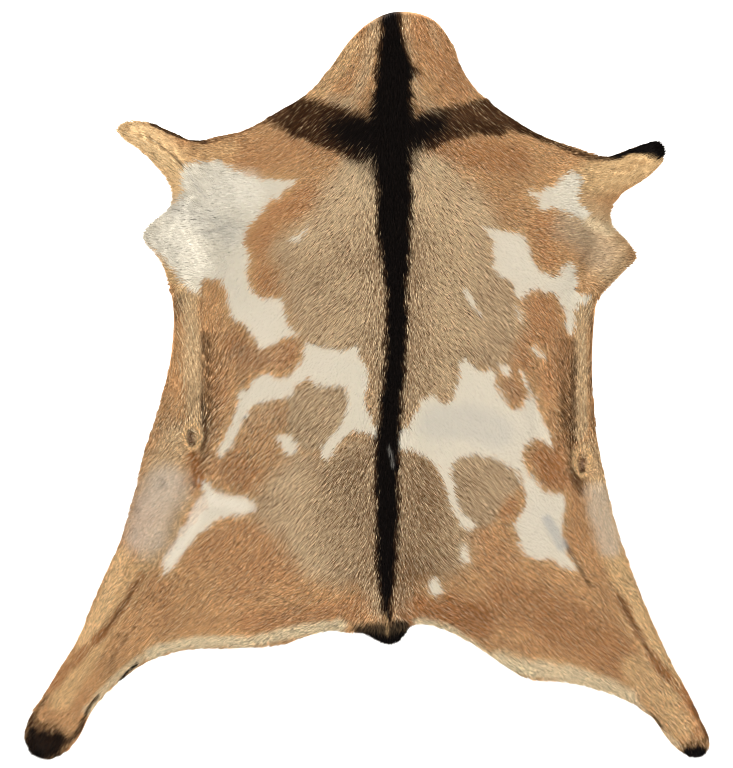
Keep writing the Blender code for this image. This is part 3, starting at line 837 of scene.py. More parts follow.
@dataclass(frozen=True)
class Chart:
    """A square-meshed chart over the hide; each value is kept at a mesh corner."""

    step: float
    left: float = -432.0
    front: float = -470.0
    width: float = 864.0
    length: float = 940.0

    @property
    def columns(self) -> int:
        """Corners across the chart."""
        return int(self.width / self.step) + 2

    @property
    def rows(self) -> int:
        """Corners along the chart."""
        return int(self.length / self.step) + 2

    def corners(self) -> tuple[Array, Array]:
        """The place of every corner.

        Returns:
            The x and the y of the corners.
        """
        x = self.left + self.step * np.arange(self.columns)
        y = self.front + self.step * np.arange(self.rows)
        return np.meshgrid(x, y)

    def window(self, path: Array, margin: float) -> tuple[slice, slice]:
        """The part of the chart that lies within margin of a path's box.

        Args:
            path: The path's points, one row each.
            margin: Room round the path, in millimetres.

        Returns:
            The rows and the columns, as slices.
        """
        low = (path.min(0) - margin - (self.left, self.front)) / self.step
        high = (path.max(0) + margin - (self.left, self.front)) / self.step
        rows = slice(max(int(low[1]), 0), max(int(high[1]) + 2, 0))
        columns = slice(max(int(low[0]), 0), max(int(high[0]) + 2, 0))
        return rows, columns

    def read(self, values: Array, x: Array, y: Array) -> Array:
        """Reads charted values between the corners.

        Args:
            values: One value, or one row of values, per corner.
            x: Places across the hide.
            y: Places along the hide.

        Returns:
            The value at each place.
        """
        u = np.clip((x - self.left) / self.step, 0.0, self.columns - 1.001)
        v = np.clip((y - self.front) / self.step, 0.0, self.rows - 1.001)
        i = u.astype(int)
        j = v.astype(int)
        u = u - i
        v = v - j
        if values.ndim > 2:
            u = u[..., None]
            v = v[..., None]
        near = values[j, i] * (1 - u) + values[j, i + 1] * u
        far = values[j + 1, i] * (1 - u) + values[j + 1, i + 1] * u
        return near * (1 - v) + far * v


class Mottle:
    """Even, soft, random variation over the hide, about 0 with a spread of about 1."""

    SPREAD = 1.35         # at the corners, because values read between them are evened out

    def __init__(self, size: float, seed: int) -> None:
        """Draws the random values.

        Args:
            size: Distance over which the value changes, in millimetres.
            seed: Number that fixes the random values.
        """
        self.chart = Chart(size)
        shape = (self.chart.rows + 1, self.chart.columns + 1)
        self.values = np.random.default_rng(seed).standard_normal(shape) * self.SPREAD

    def at(self, x: Array, y: Array) -> Array:
        """The value at each place."""
        return self.chart.read(self.values, x, y)


class HideForm:
    """The height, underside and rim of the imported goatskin, read from its node."""

    CHART = Chart(2.0)
    SURE_DEPTH = 2.6      # inside the rim's rounding, where a height is the hide's own
    SPREAD = 14           # how many corners past the rim the heights are carried on
    RIM_STEP = 0.7
    START = 1.0           # height in metres that the rays start from, over the hide and under it

    def __init__(self, node: bpy.types.Object) -> None:
        """Reads the node.

        Args:
            node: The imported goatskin.
        """
        shell = bmesh.new()
        shell.from_mesh(node.data)
        bmesh.ops.remove_doubles(shell, verts=shell.verts, dist=SAME_POINT)
        self.rim = self._rim_of(shell)
        x, y = self.CHART.corners()
        self.depth = self._depth_of(x, y)
        tree = BVHTree.FromBMesh(shell)
        top = self._heights(tree, x, y, self.START)
        under = self._heights(tree, x, y, -self.START)
        shell.free()
        self.creasing = self._creases(x, y)
        self.under = np.maximum(self._carried_on(under) - self.creasing, 0.0)
        self.top = self._carried_on(top) - self.creasing
        self.area = self._area()

    def _rim_of(self, shell: bmesh.types.BMesh) -> Array:
        """Finds the hide's outline from above.

        Args:
            shell: The node's mesh.

        Returns:
            The outline as a ring of points in millimetres.
        """
        onward = {}
        for edge in shell.edges:
            ups = [face.normal.z > 0 for face in edge.link_faces]
            if len(ups) == 2 and ups[0] != ups[1]:
                a, b = edge.verts
                onward.setdefault(a, []).append(b)
                onward.setdefault(b, []).append(a)
        first = max(onward, key=lambda v: v.co.y)
        ring = [first]
        before, now = first, onward[first][0]
        while now is not first:
            ring.append(now)
            nexts = [v for v in onward[now] if v is not before]
            before, now = now, nexts[0]
        return np.array([(v.co.x, v.co.y) for v in ring]) / MM

    def _depth_of(self, x: Array, y: Array) -> Array:
        """Measures how far places lie inside the rim.

        Args:
            x: Places across the hide.
            y: Places along the hide.

        Returns:
            The depths, below 0 outside the rim.
        """
        ends = np.roll(self.rim, -1, axis=0)
        dots = []
        for a, b in zip(self.rim, ends):
            parts = max(1, int(np.hypot(*(b - a)) / self.RIM_STEP))
            dots.extend(a + (b - a) * k / parts for k in range(parts))
        tree = kdtree.KDTree(len(dots))
        for k, dot in enumerate(dots):
            tree.insert((dot[0], dot[1], 0.0), k)
        tree.balance()
        gaps = [tree.find((u, v, 0.0))[2] for u, v in zip(x.ravel(), y.ravel())]
        sign = np.where(is_within(x, y, self.rim), 1.0, -1.0)
        return np.array(gaps).reshape(x.shape) * sign

    def _heights(self, tree: BVHTree, x: Array, y: Array, start: float) -> Array:
        """Heights in millimetres where a vertical ray meets the node, from one side.

        Args:
            tree: The node's faces.
            x: Places across the hide.
            y: Places along the hide.
            start: Height that the rays start from, in metres, down if it is above the hide.

        Returns:
            The heights, not a number where nothing is met.
        """
        heights = np.full(x.shape, np.nan)
        aim = Vector((0.0, 0.0, -math.copysign(1.0, start)))
        for j, i in zip(*np.where(self.depth > self.SURE_DEPTH)):
            met = tree.ray_cast(Vector((x[j, i] * MM, y[j, i] * MM, start)), aim)[0]
            if met is not None:
                heights[j, i] = met.z / MM
        return heights

    def _carried_on(self, heights: Array) -> Array:
        """Carries heights on past the rim, from each corner's known neighbours.

        Args:
            heights: Heights at the corners, not a number where none is known.

        Returns:
            The heights, 0 far past the rim.
        """
        carried = heights.copy()
        for _ in range(self.SPREAD):
            known = np.isfinite(carried)
            total = np.zeros(carried.shape)
            count = np.zeros(carried.shape)
            for rows, columns in ((0, 1), (0, -1), (1, 0), (-1, 0)):
                near = np.roll(carried, (rows, columns), axis=(0, 1))
                there = np.isfinite(near)
                total += np.where(there, near, 0.0)
                count += there
            spread = total / np.maximum(count, 1)
            carried = np.where(known, carried, np.where(count > 0, spread, np.nan))
        return np.nan_to_num(carried, nan=0.0)

    def _creases(self, x: Array, y: Array) -> Array:
        """Adds up the troughs of the hide.

        Args:
            x: Places across the hide.
            y: Places along the hide.

        Returns:
            How far they lower the hide at each corner.
        """
        low = np.zeros(x.shape)
        for crease in CREASES:
            path = smooth_path(crease.path, closed=False)
            part = self.CHART.window(path, crease.reach)
            gap = path_distance(x[part], y[part], path) / crease.reach
            low[part] += crease.depth * smooth_step(1.0 - gap)
        return low

    def _area(self) -> float:
        """The hide's flat area in square millimetres."""
        x, y = self.rim.T
        return abs(np.dot(x, np.roll(y, -1)) - np.dot(y, np.roll(x, -1))) / 2


class HairFlow:
    """Which way the hair lies, with the tufts and streaks that come of it."""

    COARSE = Chart(6.0)
    FINE = Chart(0.6)
    BROAD = Chart(1.3)
    SAMPLE_STEP = 9.0
    REACH = 9.0             # how closely the hair keeps to a drawn stroke
    OPENING = 0.5           # how far the hair of a whorl turns away from its middle
    TUFTS = ((9.0, 40, 1.6), (28.0, 41, 4.0))     # size, seed, and sway in degrees
    DRAWN_STEPS = 8         # by which streaks and locks are drawn out, both ways
    STREAK_STEP = 0.7
    LOCK_STEP = 1.5

    def __init__(self) -> None:
        """Spreads the strokes over the hide."""
        x, y = self.COARSE.corners()
        coarse = self._spread(x, y)
        x, y = self.FINE.corners()
        lay = self.COARSE.read(coarse, x, y)
        lay = self._with_whorls(lay, x, y)
        turn = np.zeros(x.shape)
        for size, seed, sway in self.TUFTS:
            turn += math.radians(sway) * Mottle(size, seed).at(x, y)
        self.lay = self._turned(lay, turn)
        self.streaks = self._drawn_out(self.FINE, 7, self.STREAK_STEP)
        self.locks = self._drawn_out(self.BROAD, 8, self.LOCK_STEP)

    def _spread(self, x: Array, y: Array) -> Array:
        """Spreads the strokes' directions over the hide, weighed by nearness.

        Args:
            x: Places across the hide.
            y: Places along the hide.

        Returns:
            The direction at each corner, at length 1.
        """
        places = []
        ways = []
        for stroke in (path for paths in HAIR_STROKES.values() for path in paths):
            path = smooth_path(stroke, closed=False)
            runs = np.diff(path, axis=0)
            lengths = np.hypot(*runs.T)
            along = np.concatenate([[0.0], np.cumsum(lengths)])
            for at in np.arange(0.0, along[-1], self.SAMPLE_STEP):
                k = min(int(np.searchsorted(along, at, side="right")) - 1, len(runs) - 1)
                places.append(path[k] + runs[k] * (at - along[k]) / lengths[k])
                ways.append(runs[k] / lengths[k])
        places = np.array(places)
        ways = np.array(ways)
        lay = np.zeros(x.shape + (2,))
        for row in range(x.shape[0]):
            gap = (x[row][:, None] - places[:, 0]) ** 2 + (y[row][:, None] - places[:, 1]) ** 2
            weight = 1.0 / (gap + self.REACH**2) ** 2
            lay[row] = weight @ ways
        return lay / np.linalg.norm(lay, axis=-1, keepdims=True)

    def _with_whorls(self, lay: Array, x: Array, y: Array) -> Array:
        """Lets the hair turn about each whorl's middle.

        Args:
            lay: Directions without the whorls.
            x: Places across the hide.
            y: Places along the hide.

        Returns:
            Directions with them.
        """
        for whorl in WHORLS:
            away_x = x - whorl.centre[0]
            away_y = y - whorl.centre[1]
            gap = np.hypot(away_x, away_y) + 1e-6
            share = np.exp(-((gap / whorl.reach) ** 2))[..., None]
            round_x = -away_y * whorl.turn + self.OPENING * away_x
            round_y = away_x * whorl.turn + self.OPENING * away_y
            spin = np.stack([round_x, round_y], axis=-1) / gap[..., None]
            lay = lay * (1 - share) + spin * share
        return lay

    def _turned(self, lay: Array, turn: Array) -> Array:
        """Directions turned by an angle each, at length 1."""
        angle = np.arctan2(lay[..., 1], lay[..., 0]) + turn
        return np.stack([np.cos(angle), np.sin(angle)], axis=-1)

    def _drawn_out(self, chart: Chart, seed: int, step: float) -> Array:
        """Random light and dark drawn out along the hair.

        Args:
            chart: The chart for it, whose mesh sets how wide the streaks are.
            seed: Number that fixes the random values.
            step: Length of a step that each streak is drawn out by.

        Returns:
            The streaks at the chart's corners, about 0 with a spread of 1.
        """
        x, y = chart.corners()
        noise = np.random.default_rng(seed).standard_normal(x.shape)
        noise = noise - self._blurred(noise)
        drawn = noise.copy()
        for sense in (1.0, -1.0):
            u = x.copy()
            v = y.copy()
            for _ in range(self.DRAWN_STEPS):
                lay = self.FINE.read(self.lay, u, v)
                u = u + sense * step * lay[..., 0]
                v = v + sense * step * lay[..., 1]
                drawn += chart.read(noise, u, v)
        return drawn / drawn.std()

    def _blurred(self, values: Array) -> Array:
        """Each corner's mean with the corners next to it across and along."""
        near = [np.roll(values, step, axis) for axis in (0, 1) for step in (-1, 0, 1)]
        return sum(near) / len(near)

    def way(self, x: Array, y: Array) -> Array:
        """The direction of the hair at each place, at length 1."""
        lay = self.FINE.read(self.lay, x, y)
        return lay / np.linalg.norm(lay, axis=-1, keepdims=True)

    def streak(self, x: Array, y: Array) -> Array:
        """How light or dark the streak at each place is."""
        return self.FINE.read(self.streaks, x, y)

    def lock(self, x: Array, y: Array) -> Array:
        """How light or dark the lock at each place is."""
        return self.BROAD.read(self.locks, x, y)


class Markings:
    """The coat's colours: soft tints, grizzled, white and black hair, with painted shade and painted
    light.
    """

    CHART = Chart(1.5)
    SWAYS = ((9.0, 60, 1.0), (4.0, 61, 0.6))    # of a patch's edge: size, seed and weight
    EDGE_SWAY = 1.1         # how far the edge strays from the drawn outline
    SWAY_FADE = 14.0        # washes of less reach stray less
    WASH_RISE = 1.4         # a wash is at full strength over its inner part
    WASH_ROOM = 4.0
    DRIFTS = ((46.0, 62, 1.0), (17.0, 63, 0.7))     # of the plain hair's tone, as above
    DRIFT = 0.05
    WARM_PLACES = ((31.0, 64, 0.25),)
    WARMEST = 0.5
    TICK_PLACES = ((22.0, 66, 0.035),)
    GRIZZLE_GROW = 5.0
    GRIZZLE_SHARE = 0.85    # how much of the hair there is ticked
    GRIZZLE_OWN = 0.1
    FRINGE_GROW = 2.5       # paler hair round the white patches
    FRINGE_BLUR = 2.0
    FRINGE_SHARE = 0.6
    STRIPE_EDGE = 9.0
    STRIPE_RIM = 8.0        # reddish brown beside the back stripe
    STRIPE_RIM_SHARE = 0.85
    STRIPE_END = 2.0        # how soon the stripe ends past its last row
    PLAIN_STREAK = 0.1      # how much lighter or darker streaks are in plain hair
    PLAIN_OWN = 0.38        # the same for single hairs
    PALER = 0.9             # how soon lighter hairs turn to cream
    TICK_STREAK = 0.2       # how much paler streaks are in the grizzled hair
    TICK_OWN = 0.26
    LOCK_DARK = 0.6         # how much darker the dark locks are
    LOCK_PALE = 0.85        # how pale the pale ones are
    WHITE_STREAK = 0.01
    SKIN_AND_PAINTED_LIGHT_STREAK = 0.25
    BLACK_OWN = 0.4
    FLECK_OWN = 0.8
    FLECK_MOST = 1.4
    SHADE_SPREAD = 0.26     # how unevenly single hairs take the dark shades
    SHADE_STREAK = 0.28     # the same for streaks
    SHADE_MIX = 0.85
    HAIR_MIX = 0.3          # how many hairs at a patch's edge are of both colours
    BLACK_MIX = 0.6         # the same at the edge of black hair
    CHANCE_SHARE = 0.9      # how much chance decides there
    PLAIN_SHOWN = 1.0       # how far the strands' tones show in plain hair
    TICK_SHOWN = 0.36
    WHITE_SHOWN = 0.02
    BLACK_SHOWN = 0.3
    # The hair is calmed the same where shade and light are painted as where the skin shows through
    SKIN_AND_PAINTED_LIGHT_CALM = 0.6         # how much calmer hair is where the skin shows through

    def __init__(self) -> None:
        """Charts the colours."""
        x, y = self.CHART.corners()
        self.sway = self.EDGE_SWAY * self._drift(self.SWAYS, x, y)
        self.white = self._patches(WHITE_PATCHES, x, y)
        self.grizzle = self._patches(GRIZZLED_PATCHES, x, y, self.GRIZZLE_GROW)
        for band in GRIZZLE_BANDS:
            part, share = self._tint(band, x, y)
            self.grizzle[part] = np.maximum(self.grizzle[part], share)
        self.ticking = self._ticking(x, y)
        stripe = self._stripe_depth(x, y)
        self.black = self._patches(BLACK_PATCHES, x, y)
        self.black = np.maximum(self.black, smooth_step(0.5 + stripe / self.STRIPE_EDGE / 2))
        self.colour = self._ground(x, y)
        fringe = self._patches(WHITE_PATCHES, x, y, self.FRINGE_GROW, self.FRINGE_BLUR)
        self.colour = self._mixed(self.colour, Pigment.GOLD, self.FRINGE_SHARE * fringe)
        self.shaded, self.shade = self._layered(SHADES, x, y)
        beside = self.STRIPE_RIM_SHARE * smooth_step(1.0 + stripe / self.STRIPE_RIM)
        self.shade = self._mixed(self.shade, Pigment.SABLE, beside)
        self.shaded = np.maximum(self.shaded, beside)
        # Skin that shows through, with painted shade in creases and painted light on white hair
        self.bared, self.bare = self._layered(SKIN_TINTS, x, y)
        self.flecked, self.fleck = self._layered(BLACK_STREAKS, x, y)
        self.locked, self.paled = self._layered(LOCKS, x, y)

    def _drift(self, mottles: Iterable[tuple[float, int, float]], x: Array, y: Array) -> Array:
        """The sum of mottles at each place, each given by its size, seed and weight."""
        return sum(weight * Mottle(size, seed).at(x, y) for size, seed, weight in mottles)

    def _patches(self, patches: Iterable[Patch], x: Array, y: Array, grow: float = 0.0,
                 blur: float = 0.0) -> Array:
        """How surely each corner is inside one of some patches.

        Args:
            patches: The patches.
            x: The corners' places across the hide.
            y: The corners' places along the hide.
            grow: How far the edge lies outside the drawn outline.
            blur: How much further than usual the edge is mixed.

        Returns:
            A share from 0 to 1 for each corner.
        """
        share = np.zeros(x.shape)
        for patch in patches:
            ring = smooth_path(patch.outline, closed=True, parts=3)
            edge = patch.edge + blur
            part = self.CHART.window(ring, 2 * edge + grow)
            gap = path_distance(x[part], y[part], np.vstack([ring, ring[:1]]))
            inside = is_within(x[part], y[part], ring)
            depth = np.where(inside, gap, -gap) + self.sway[part] + grow
            share[part] = np.maximum(share[part], smooth_step(0.5 + depth / edge / 2))
        return share

    def _tint(self, wash: Wash, x: Array, y: Array) -> tuple[tuple[slice, slice], Array]:
        """Draws one wash.

        Args:
            wash: The wash.
            x: The corners' places across the hide.
            y: The corners' places along the hide.

        Returns:
            The part of the chart that it reaches, and its strength there.
        """
        path = smooth_path(wash.path, closed=False, parts=4)
        part = self.CHART.window(path, wash.reach + self.WASH_ROOM)
        sway = self.sway[part] * min(1.0, wash.reach / self.SWAY_FADE)
        gap = path_distance(x[part], y[part], path) + sway
        return part, wash.strength * smooth_step(self.WASH_RISE * (1.0 - gap / wash.reach))

    def _layered(self, washes: Iterable[Wash], x: Array, y: Array) -> tuple[Array, Array]:
        """Lays washes over each other.

        Args:
            washes: The washes, the lowest first.
            x: The corners' places across the hide.
            y: The corners' places along the hide.

        Returns:
            The share of each corner that they cover, and their colour there.
        """
        cover = np.zeros(x.shape)
        colour = np.zeros(x.shape + (3,)) + next(iter(washes)).pigment.light()
        for wash in washes:
            part, share = self._tint(wash, x, y)
            cover[part] = share + cover[part] * (1 - share)
            weight = share / np.maximum(cover[part], 1e-6)
            colour[part] = self._mixed(colour[part], wash.pigment, weight)
        return cover, colour

    def _ticking(self, x: Array, y: Array) -> Array:
        """Finds how pale the grizzled hair is.

        Args:
            x: Places across the hide.
            y: Places along the hide.

        Returns:
            How much paler than usual it is at each corner, below 0 if darker.
        """
        paler = np.zeros(x.shape)
        for tone in GRIZZLE_TONES:
            path = smooth_path(tone.path, closed=False)
            gap = path_distance(x, y, path) / tone.reach
            paler += tone.paler * np.exp(-(gap**2))
        return paler + self._drift(self.TICK_PLACES, x, y)

    def _stripe_depth(self, x: Array, y: Array) -> Array:
        """Measures how far places lie inside the back stripe.

        Args:
            x: Places across the hide.
            y: Places along the hide.

        Returns:
            The depths, below 0 beside the stripe.
        """
        rows = sorted(BACK_STRIPE, key=lambda row: row.y)
        heights = [row.y for row in rows]
        left = np.interp(y, heights, [row.left for row in rows])
        right = np.interp(y, heights, [row.right for row in rows])
        past = np.maximum(heights[0] - y, 0.0) * self.STRIPE_END
        return np.minimum(x - left, right - x) + self.sway - past

    def _ground(self, x: Array, y: Array) -> Array:
        """Colours the hair that is neither grizzled, white nor black.

        Args:
            x: Places across the hide.
            y: Places along the hide.

        Returns:
            Its tinted colour at each corner.
        """
        drift = self.DRIFT * self._drift(self.DRIFTS, x, y)
        base = Pigment.FAWN.light() * np.exp(drift)[..., None]
        warm = np.clip(self._drift(self.WARM_PLACES, x, y), 0.0, self.WARMEST)
        base = self._mixed(base, Pigment.RUST, warm)
        for wash in TINTS:
            part, share = self._tint(wash, x, y)
            base[part] = self._mixed(base[part], wash.pigment, share)
        return base

    def _mixed(self, colour: Array, other: Pigment | Array, share: Array) -> Array:
        """The colour with a share of a pigment or another colour in it."""
        added = other.light() if isinstance(other, Pigment) else other
        return colour * (1 - share[..., None]) + added * share[..., None]

    def read(self, values: Array, x: Array, y: Array) -> Array:
        """A charted value at each place."""
        return self.CHART.read(values, x, y)

    def even(self, x: Array, y: Array) -> Array:
        """Colours the coat as it is seen from far off, without single hairs.

        Args:
            x: Places across the hide.
            y: Places along the hide.

        Returns:
            Linear red, green and blue at each place.
        """
        colour = self.read(self.colour, x, y)
        grizzled = 0.5 * Pigment.TICK_PALE.light() + 0.5 * Pigment.TICK_DARK.light()
        colour = self._mixed(colour, grizzled, self.read(self.grizzle, x, y))
        colour = self._mixed(colour, self.read(self.shade, x, y), self.read(self.shaded, x, y))
        colour = self._mixed(colour, Pigment.WHITE, self.read(self.white, x, y))
        colour = self._mixed(colour, self.read(self.bare, x, y), self.read(self.bared, x, y))
        return self._mixed(colour, Pigment.BLACK, self.read(self.black, x, y))

    def hairs(self, x: Array, y: Array, streak: Array, lock: Array, chance: Array,
              own: Array) -> tuple[Array, Array]:
        """One colour for each hair, seen at its own place.

        Args:
            x: Places across the hide.
            y: Places along the hide.
            streak: How light or dark the streak that the hair is in is.
            lock: The same for its lock.
            chance: Each hair's own number from 0 to 1, which picks its side at a patch's edge.
            own: Each hair's own tone, about 0 with a spread of 1.

        Returns:
            Linear red, green and blue, one row for each hair, and how far its strands' tones show.
        """
        colour = self.read(self.colour, x, y)
        tone = self.PLAIN_STREAK * streak + self.PLAIN_OWN * own
        colour = colour * np.exp(np.minimum(tone, 0.0))[:, None]
        colour = self._mixed(colour, Pigment.CREAM, 1 - np.exp(-self.PALER * np.maximum(tone, 0.0)))
        tick = self.TICK_STREAK * streak + self.TICK_OWN * own
        tick = smooth_step(0.5 + self.read(self.ticking, x, y) + tick)
        ticked = self._mixed(Pigment.TICK_DARK.light(), Pigment.TICK_PALE, tick)
        share = self.GRIZZLE_SHARE + self.GRIZZLE_OWN * own
        share = np.clip(self.read(self.grizzle, x, y) * share, 0.0, 1.0)
        colour = self._mixed(colour, ticked, share)
        shown = self.PLAIN_SHOWN * (1 - share) + self.TICK_SHOWN * share
        uneven = self.SHADE_SPREAD * own + self.SHADE_STREAK * streak
        picked = 0.5 + (self.read(self.shaded, x, y) - 0.5 - uneven) / self.SHADE_MIX
        colour = self._mixed(colour, self.read(self.shade, x, y), smooth_step(picked))
        locked = self.read(self.locked, x, y)
        colour = colour * np.exp(self.LOCK_DARK * locked * np.minimum(lock, 0.0))[:, None]
        paled = np.clip(self.LOCK_PALE * locked * lock, 0.0, 1.0)
        colour = self._mixed(colour, self.read(self.paled, x, y), paled)
        white = Pigment.WHITE.light() * np.exp(self.WHITE_STREAK * streak)[:, None]
        taken = self._taken(self.read(self.white, x, y), chance, self.HAIR_MIX)
        colour = self._mixed(colour, white, taken)
        shown += (self.WHITE_SHOWN - shown) * taken
        bared = 1 - self.SKIN_AND_PAINTED_LIGHT_STREAK * streak
        bared = np.clip(self.read(self.bared, x, y) * bared, 0.0, 1.0)
        colour = self._mixed(colour, self.read(self.bare, x, y), bared)
        shown += (self.WHITE_SHOWN - shown) * self.SKIN_AND_PAINTED_LIGHT_CALM * bared
        black = Pigment.BLACK.light() * np.exp(self.BLACK_OWN * own)[:, None]
        taken = self._taken(self.read(self.black, x, y), chance, self.BLACK_MIX)
        shown += (self.BLACK_SHOWN - shown) * taken
        colour = self._mixed(colour, black, taken)
        flecked = np.clip(1 + self.FLECK_OWN * own, 0.0, self.FLECK_MOST)
        flecked = self.read(self.flecked, x, y) * flecked
        return self._mixed(colour, self.read(self.fleck, x, y), flecked), shown

    def _taken(self, share: Array, chance: Array, mix: float) -> Array:
        """How far each hair takes a patch's colour, given how surely it is inside the patch."""
        bar = 0.5 + self.CHANCE_SHARE * (1 - mix) * (chance - 0.5)
        return smooth_step(0.5 + (share - bar) / mix)


def new_material(name: str) -> tuple[bpy.types.Material, bpy.types.NodeTree, bpy.types.Node]:
    """Starts a material that is made of nodes.

    Args:
        name: The material's name.

    Returns:
        The material, its node tree and its shader.
    """
    material = bpy.data.materials.new(name)
    material.use_nodes = True
    return material, material.node_tree, material.node_tree.nodes["Principled BSDF"]


@dataclass(frozen=True)
class HairFinish:
    """Goat hair: smooth, solid keratin strands, which lie close and give a soft, broad shine."""

    name: str = "goat_hair_lying"
    root_shade: float = 0.78          # the root lies in the shade of the hairs above it
    root_end: float = 0.55            # where along a hair that shade ends
    tone: float = 0.12                # how much lighter or darker single hairs are
    strand_tone: float = 0.7          # the same for the fine strands that a broad blade stands for
    strand_width: float = 0.0008      # a strand is about 0.1 mm, too fine to show, so it is coarser
    strand_length: float = 0.005
    dust_tones: Point = (0.95, 1.04)
    dust_scale: float = 16.0          # per metre: patches of about 60 mm
    roughness: Point = (0.5, 0.68)
    shine: float = 0.05
    ior: float = 1.5

    def make(self) -> bpy.types.Material:
        """Makes the material, coloured by each strand's own attributes.

        Returns:
            The new material.
        """
        material, tree, shader = new_material(self.name)
        coat = add_node(tree, "ShaderNodeAttribute", attribute_name=COLOUR_ATTRIBUTE)
        strand = add_node(tree, "ShaderNodeAttribute", attribute_name=STRAND_ATTRIBUTE)
        parts = add_node(tree, "ShaderNodeSeparateXYZ", links={0: strand.outputs["Vector"]})
        own, along, shown = parts.outputs
        dust = add_node(
            tree, "ShaderNodeTexNoise", {"Scale": self.dust_scale, "Detail": 3.0},
            {"Vector": add_node(tree, "ShaderNodeTexCoord").outputs["Object"]},
        )
        ranges = (
            (own, (0.0, 1.0), (1 - self.tone, 1 + self.tone)),
            (along, (0.0, self.root_end), (self.root_shade, 1.0)),
            (self._strands(tree), NOISE_RANGE, (1 - self.strand_tone, 1 + self.strand_tone)),
            (dust.outputs["Fac"], NOISE_RANGE, self.dust_tones),
            (own, (0.0, 1.0), self.roughness),
        )
        *shades, rough = [
            add_node(
                tree, "ShaderNodeMapRange",
                {"From Min": low, "From Max": high, "To Min": least, "To Max": most},
                {"Value": value}, interpolation_type="SMOOTHSTEP",
            ).outputs["Result"]
            for value, (low, high), (least, most) in ranges
        ]
        shade = shades[0]
        for other in shades[1:]:
            shade = add_node(
                tree, "ShaderNodeMath", links={0: shade, 1: other}, operation="MULTIPLY",
            ).outputs[0]
        shade = add_node(
            tree, "ShaderNodeMix", {2: 1.0}, {0: shown, 3: shade}, data_type="FLOAT",
        ).outputs[0]
        colour = add_node(
            tree, "ShaderNodeVectorMath",
            links={0: coat.outputs["Color"], "Scale": shade}, operation="SCALE",
        )
        tree.links.new(colour.outputs["Vector"], shader.inputs["Base Color"])
        tree.links.new(rough, shader.inputs["Roughness"])
        shader.inputs["IOR"].default_value = self.ior
        shader.inputs["Specular IOR Level"].default_value = self.shine
        return material

    def _strands(self, tree: bpy.types.NodeTree) -> bpy.types.NodeSocket:
        """Makes noise drawn out along each hair, as fine as single strands.

        Args:
            tree: The material's node tree.

        Returns:
            The noise's output.
        """
        place = add_node(tree, "ShaderNodeTexCoord").outputs["Object"]
        lie = add_node(tree, "ShaderNodeAttribute", attribute_name=LIE_ATTRIBUTE).outputs["Vector"]
        along, turned = [
            add_node(tree, "ShaderNodeVectorMath", links={0: lie, 1: place}, operation=operation)
            for operation in ("DOT_PRODUCT", "CROSS_PRODUCT")
        ]
        across = add_node(tree, "ShaderNodeSeparateXYZ", links={0: turned.outputs["Vector"]})
        where = add_node(
            tree, "ShaderNodeCombineXYZ",
            links={0: across.outputs["Z"], 1: along.outputs["Value"]},
        )
        drawn = add_node(
            tree, "ShaderNodeVectorMath",
            {1: (1 / self.strand_width, 1 / self.strand_length, 0.0)},
            {0: where.outputs["Vector"]}, operation="MULTIPLY",
        )
        return add_node(
            tree, "ShaderNodeTexNoise", {"Scale": 1.0, "Detail": 1.0},
            {"Vector": drawn.outputs["Vector"]},
        ).outputs["Fac"]


@dataclass(frozen=True)
class UndercoatFinish:
    """The skin's grain side under fine down: dull, and a little cloudy in the coat's colours."""

    name: str = "goatskin_grain_side"
    least_shade: float = 0.8
    down_scale: float = 420.0         # per metre: down of about 2 mm
    down_height: float = 0.0006
    down_bump: float = 0.5
    roughness: float = 0.85

    def make(self) -> bpy.types.Material:
        """Makes the material, coloured by the coat's attribute.

        Returns:
            The new material.
        """
        material, tree, shader = new_material(self.name)
        coat = add_node(tree, "ShaderNodeAttribute", attribute_name=COLOUR_ATTRIBUTE)
        down = add_node(
            tree, "ShaderNodeTexNoise", {"Scale": self.down_scale, "Detail": 4.0},
            {"Vector": add_node(tree, "ShaderNodeTexCoord").outputs["Object"]},
        ).outputs["Fac"]
        low, high = NOISE_RANGE
        shade = add_node(
            tree, "ShaderNodeMapRange",
            {"From Min": low, "From Max": high, "To Min": self.least_shade, "To Max": 1.0},
            {"Value": down},
        )
        colour = add_node(
            tree, "ShaderNodeVectorMath",
            links={0: coat.outputs["Color"], "Scale": shade.outputs["Result"]}, operation="SCALE",
        )
        bump = add_node(
            tree, "ShaderNodeBump", {"Strength": self.down_bump, "Distance": self.down_height},
            {"Height": down},
        )
        tree.links.new(colour.outputs["Vector"], shader.inputs["Base Color"])
        tree.links.new(bump.outputs["Normal"], shader.inputs["Normal"])
        shader.inputs["Roughness"].default_value = self.roughness
        return material


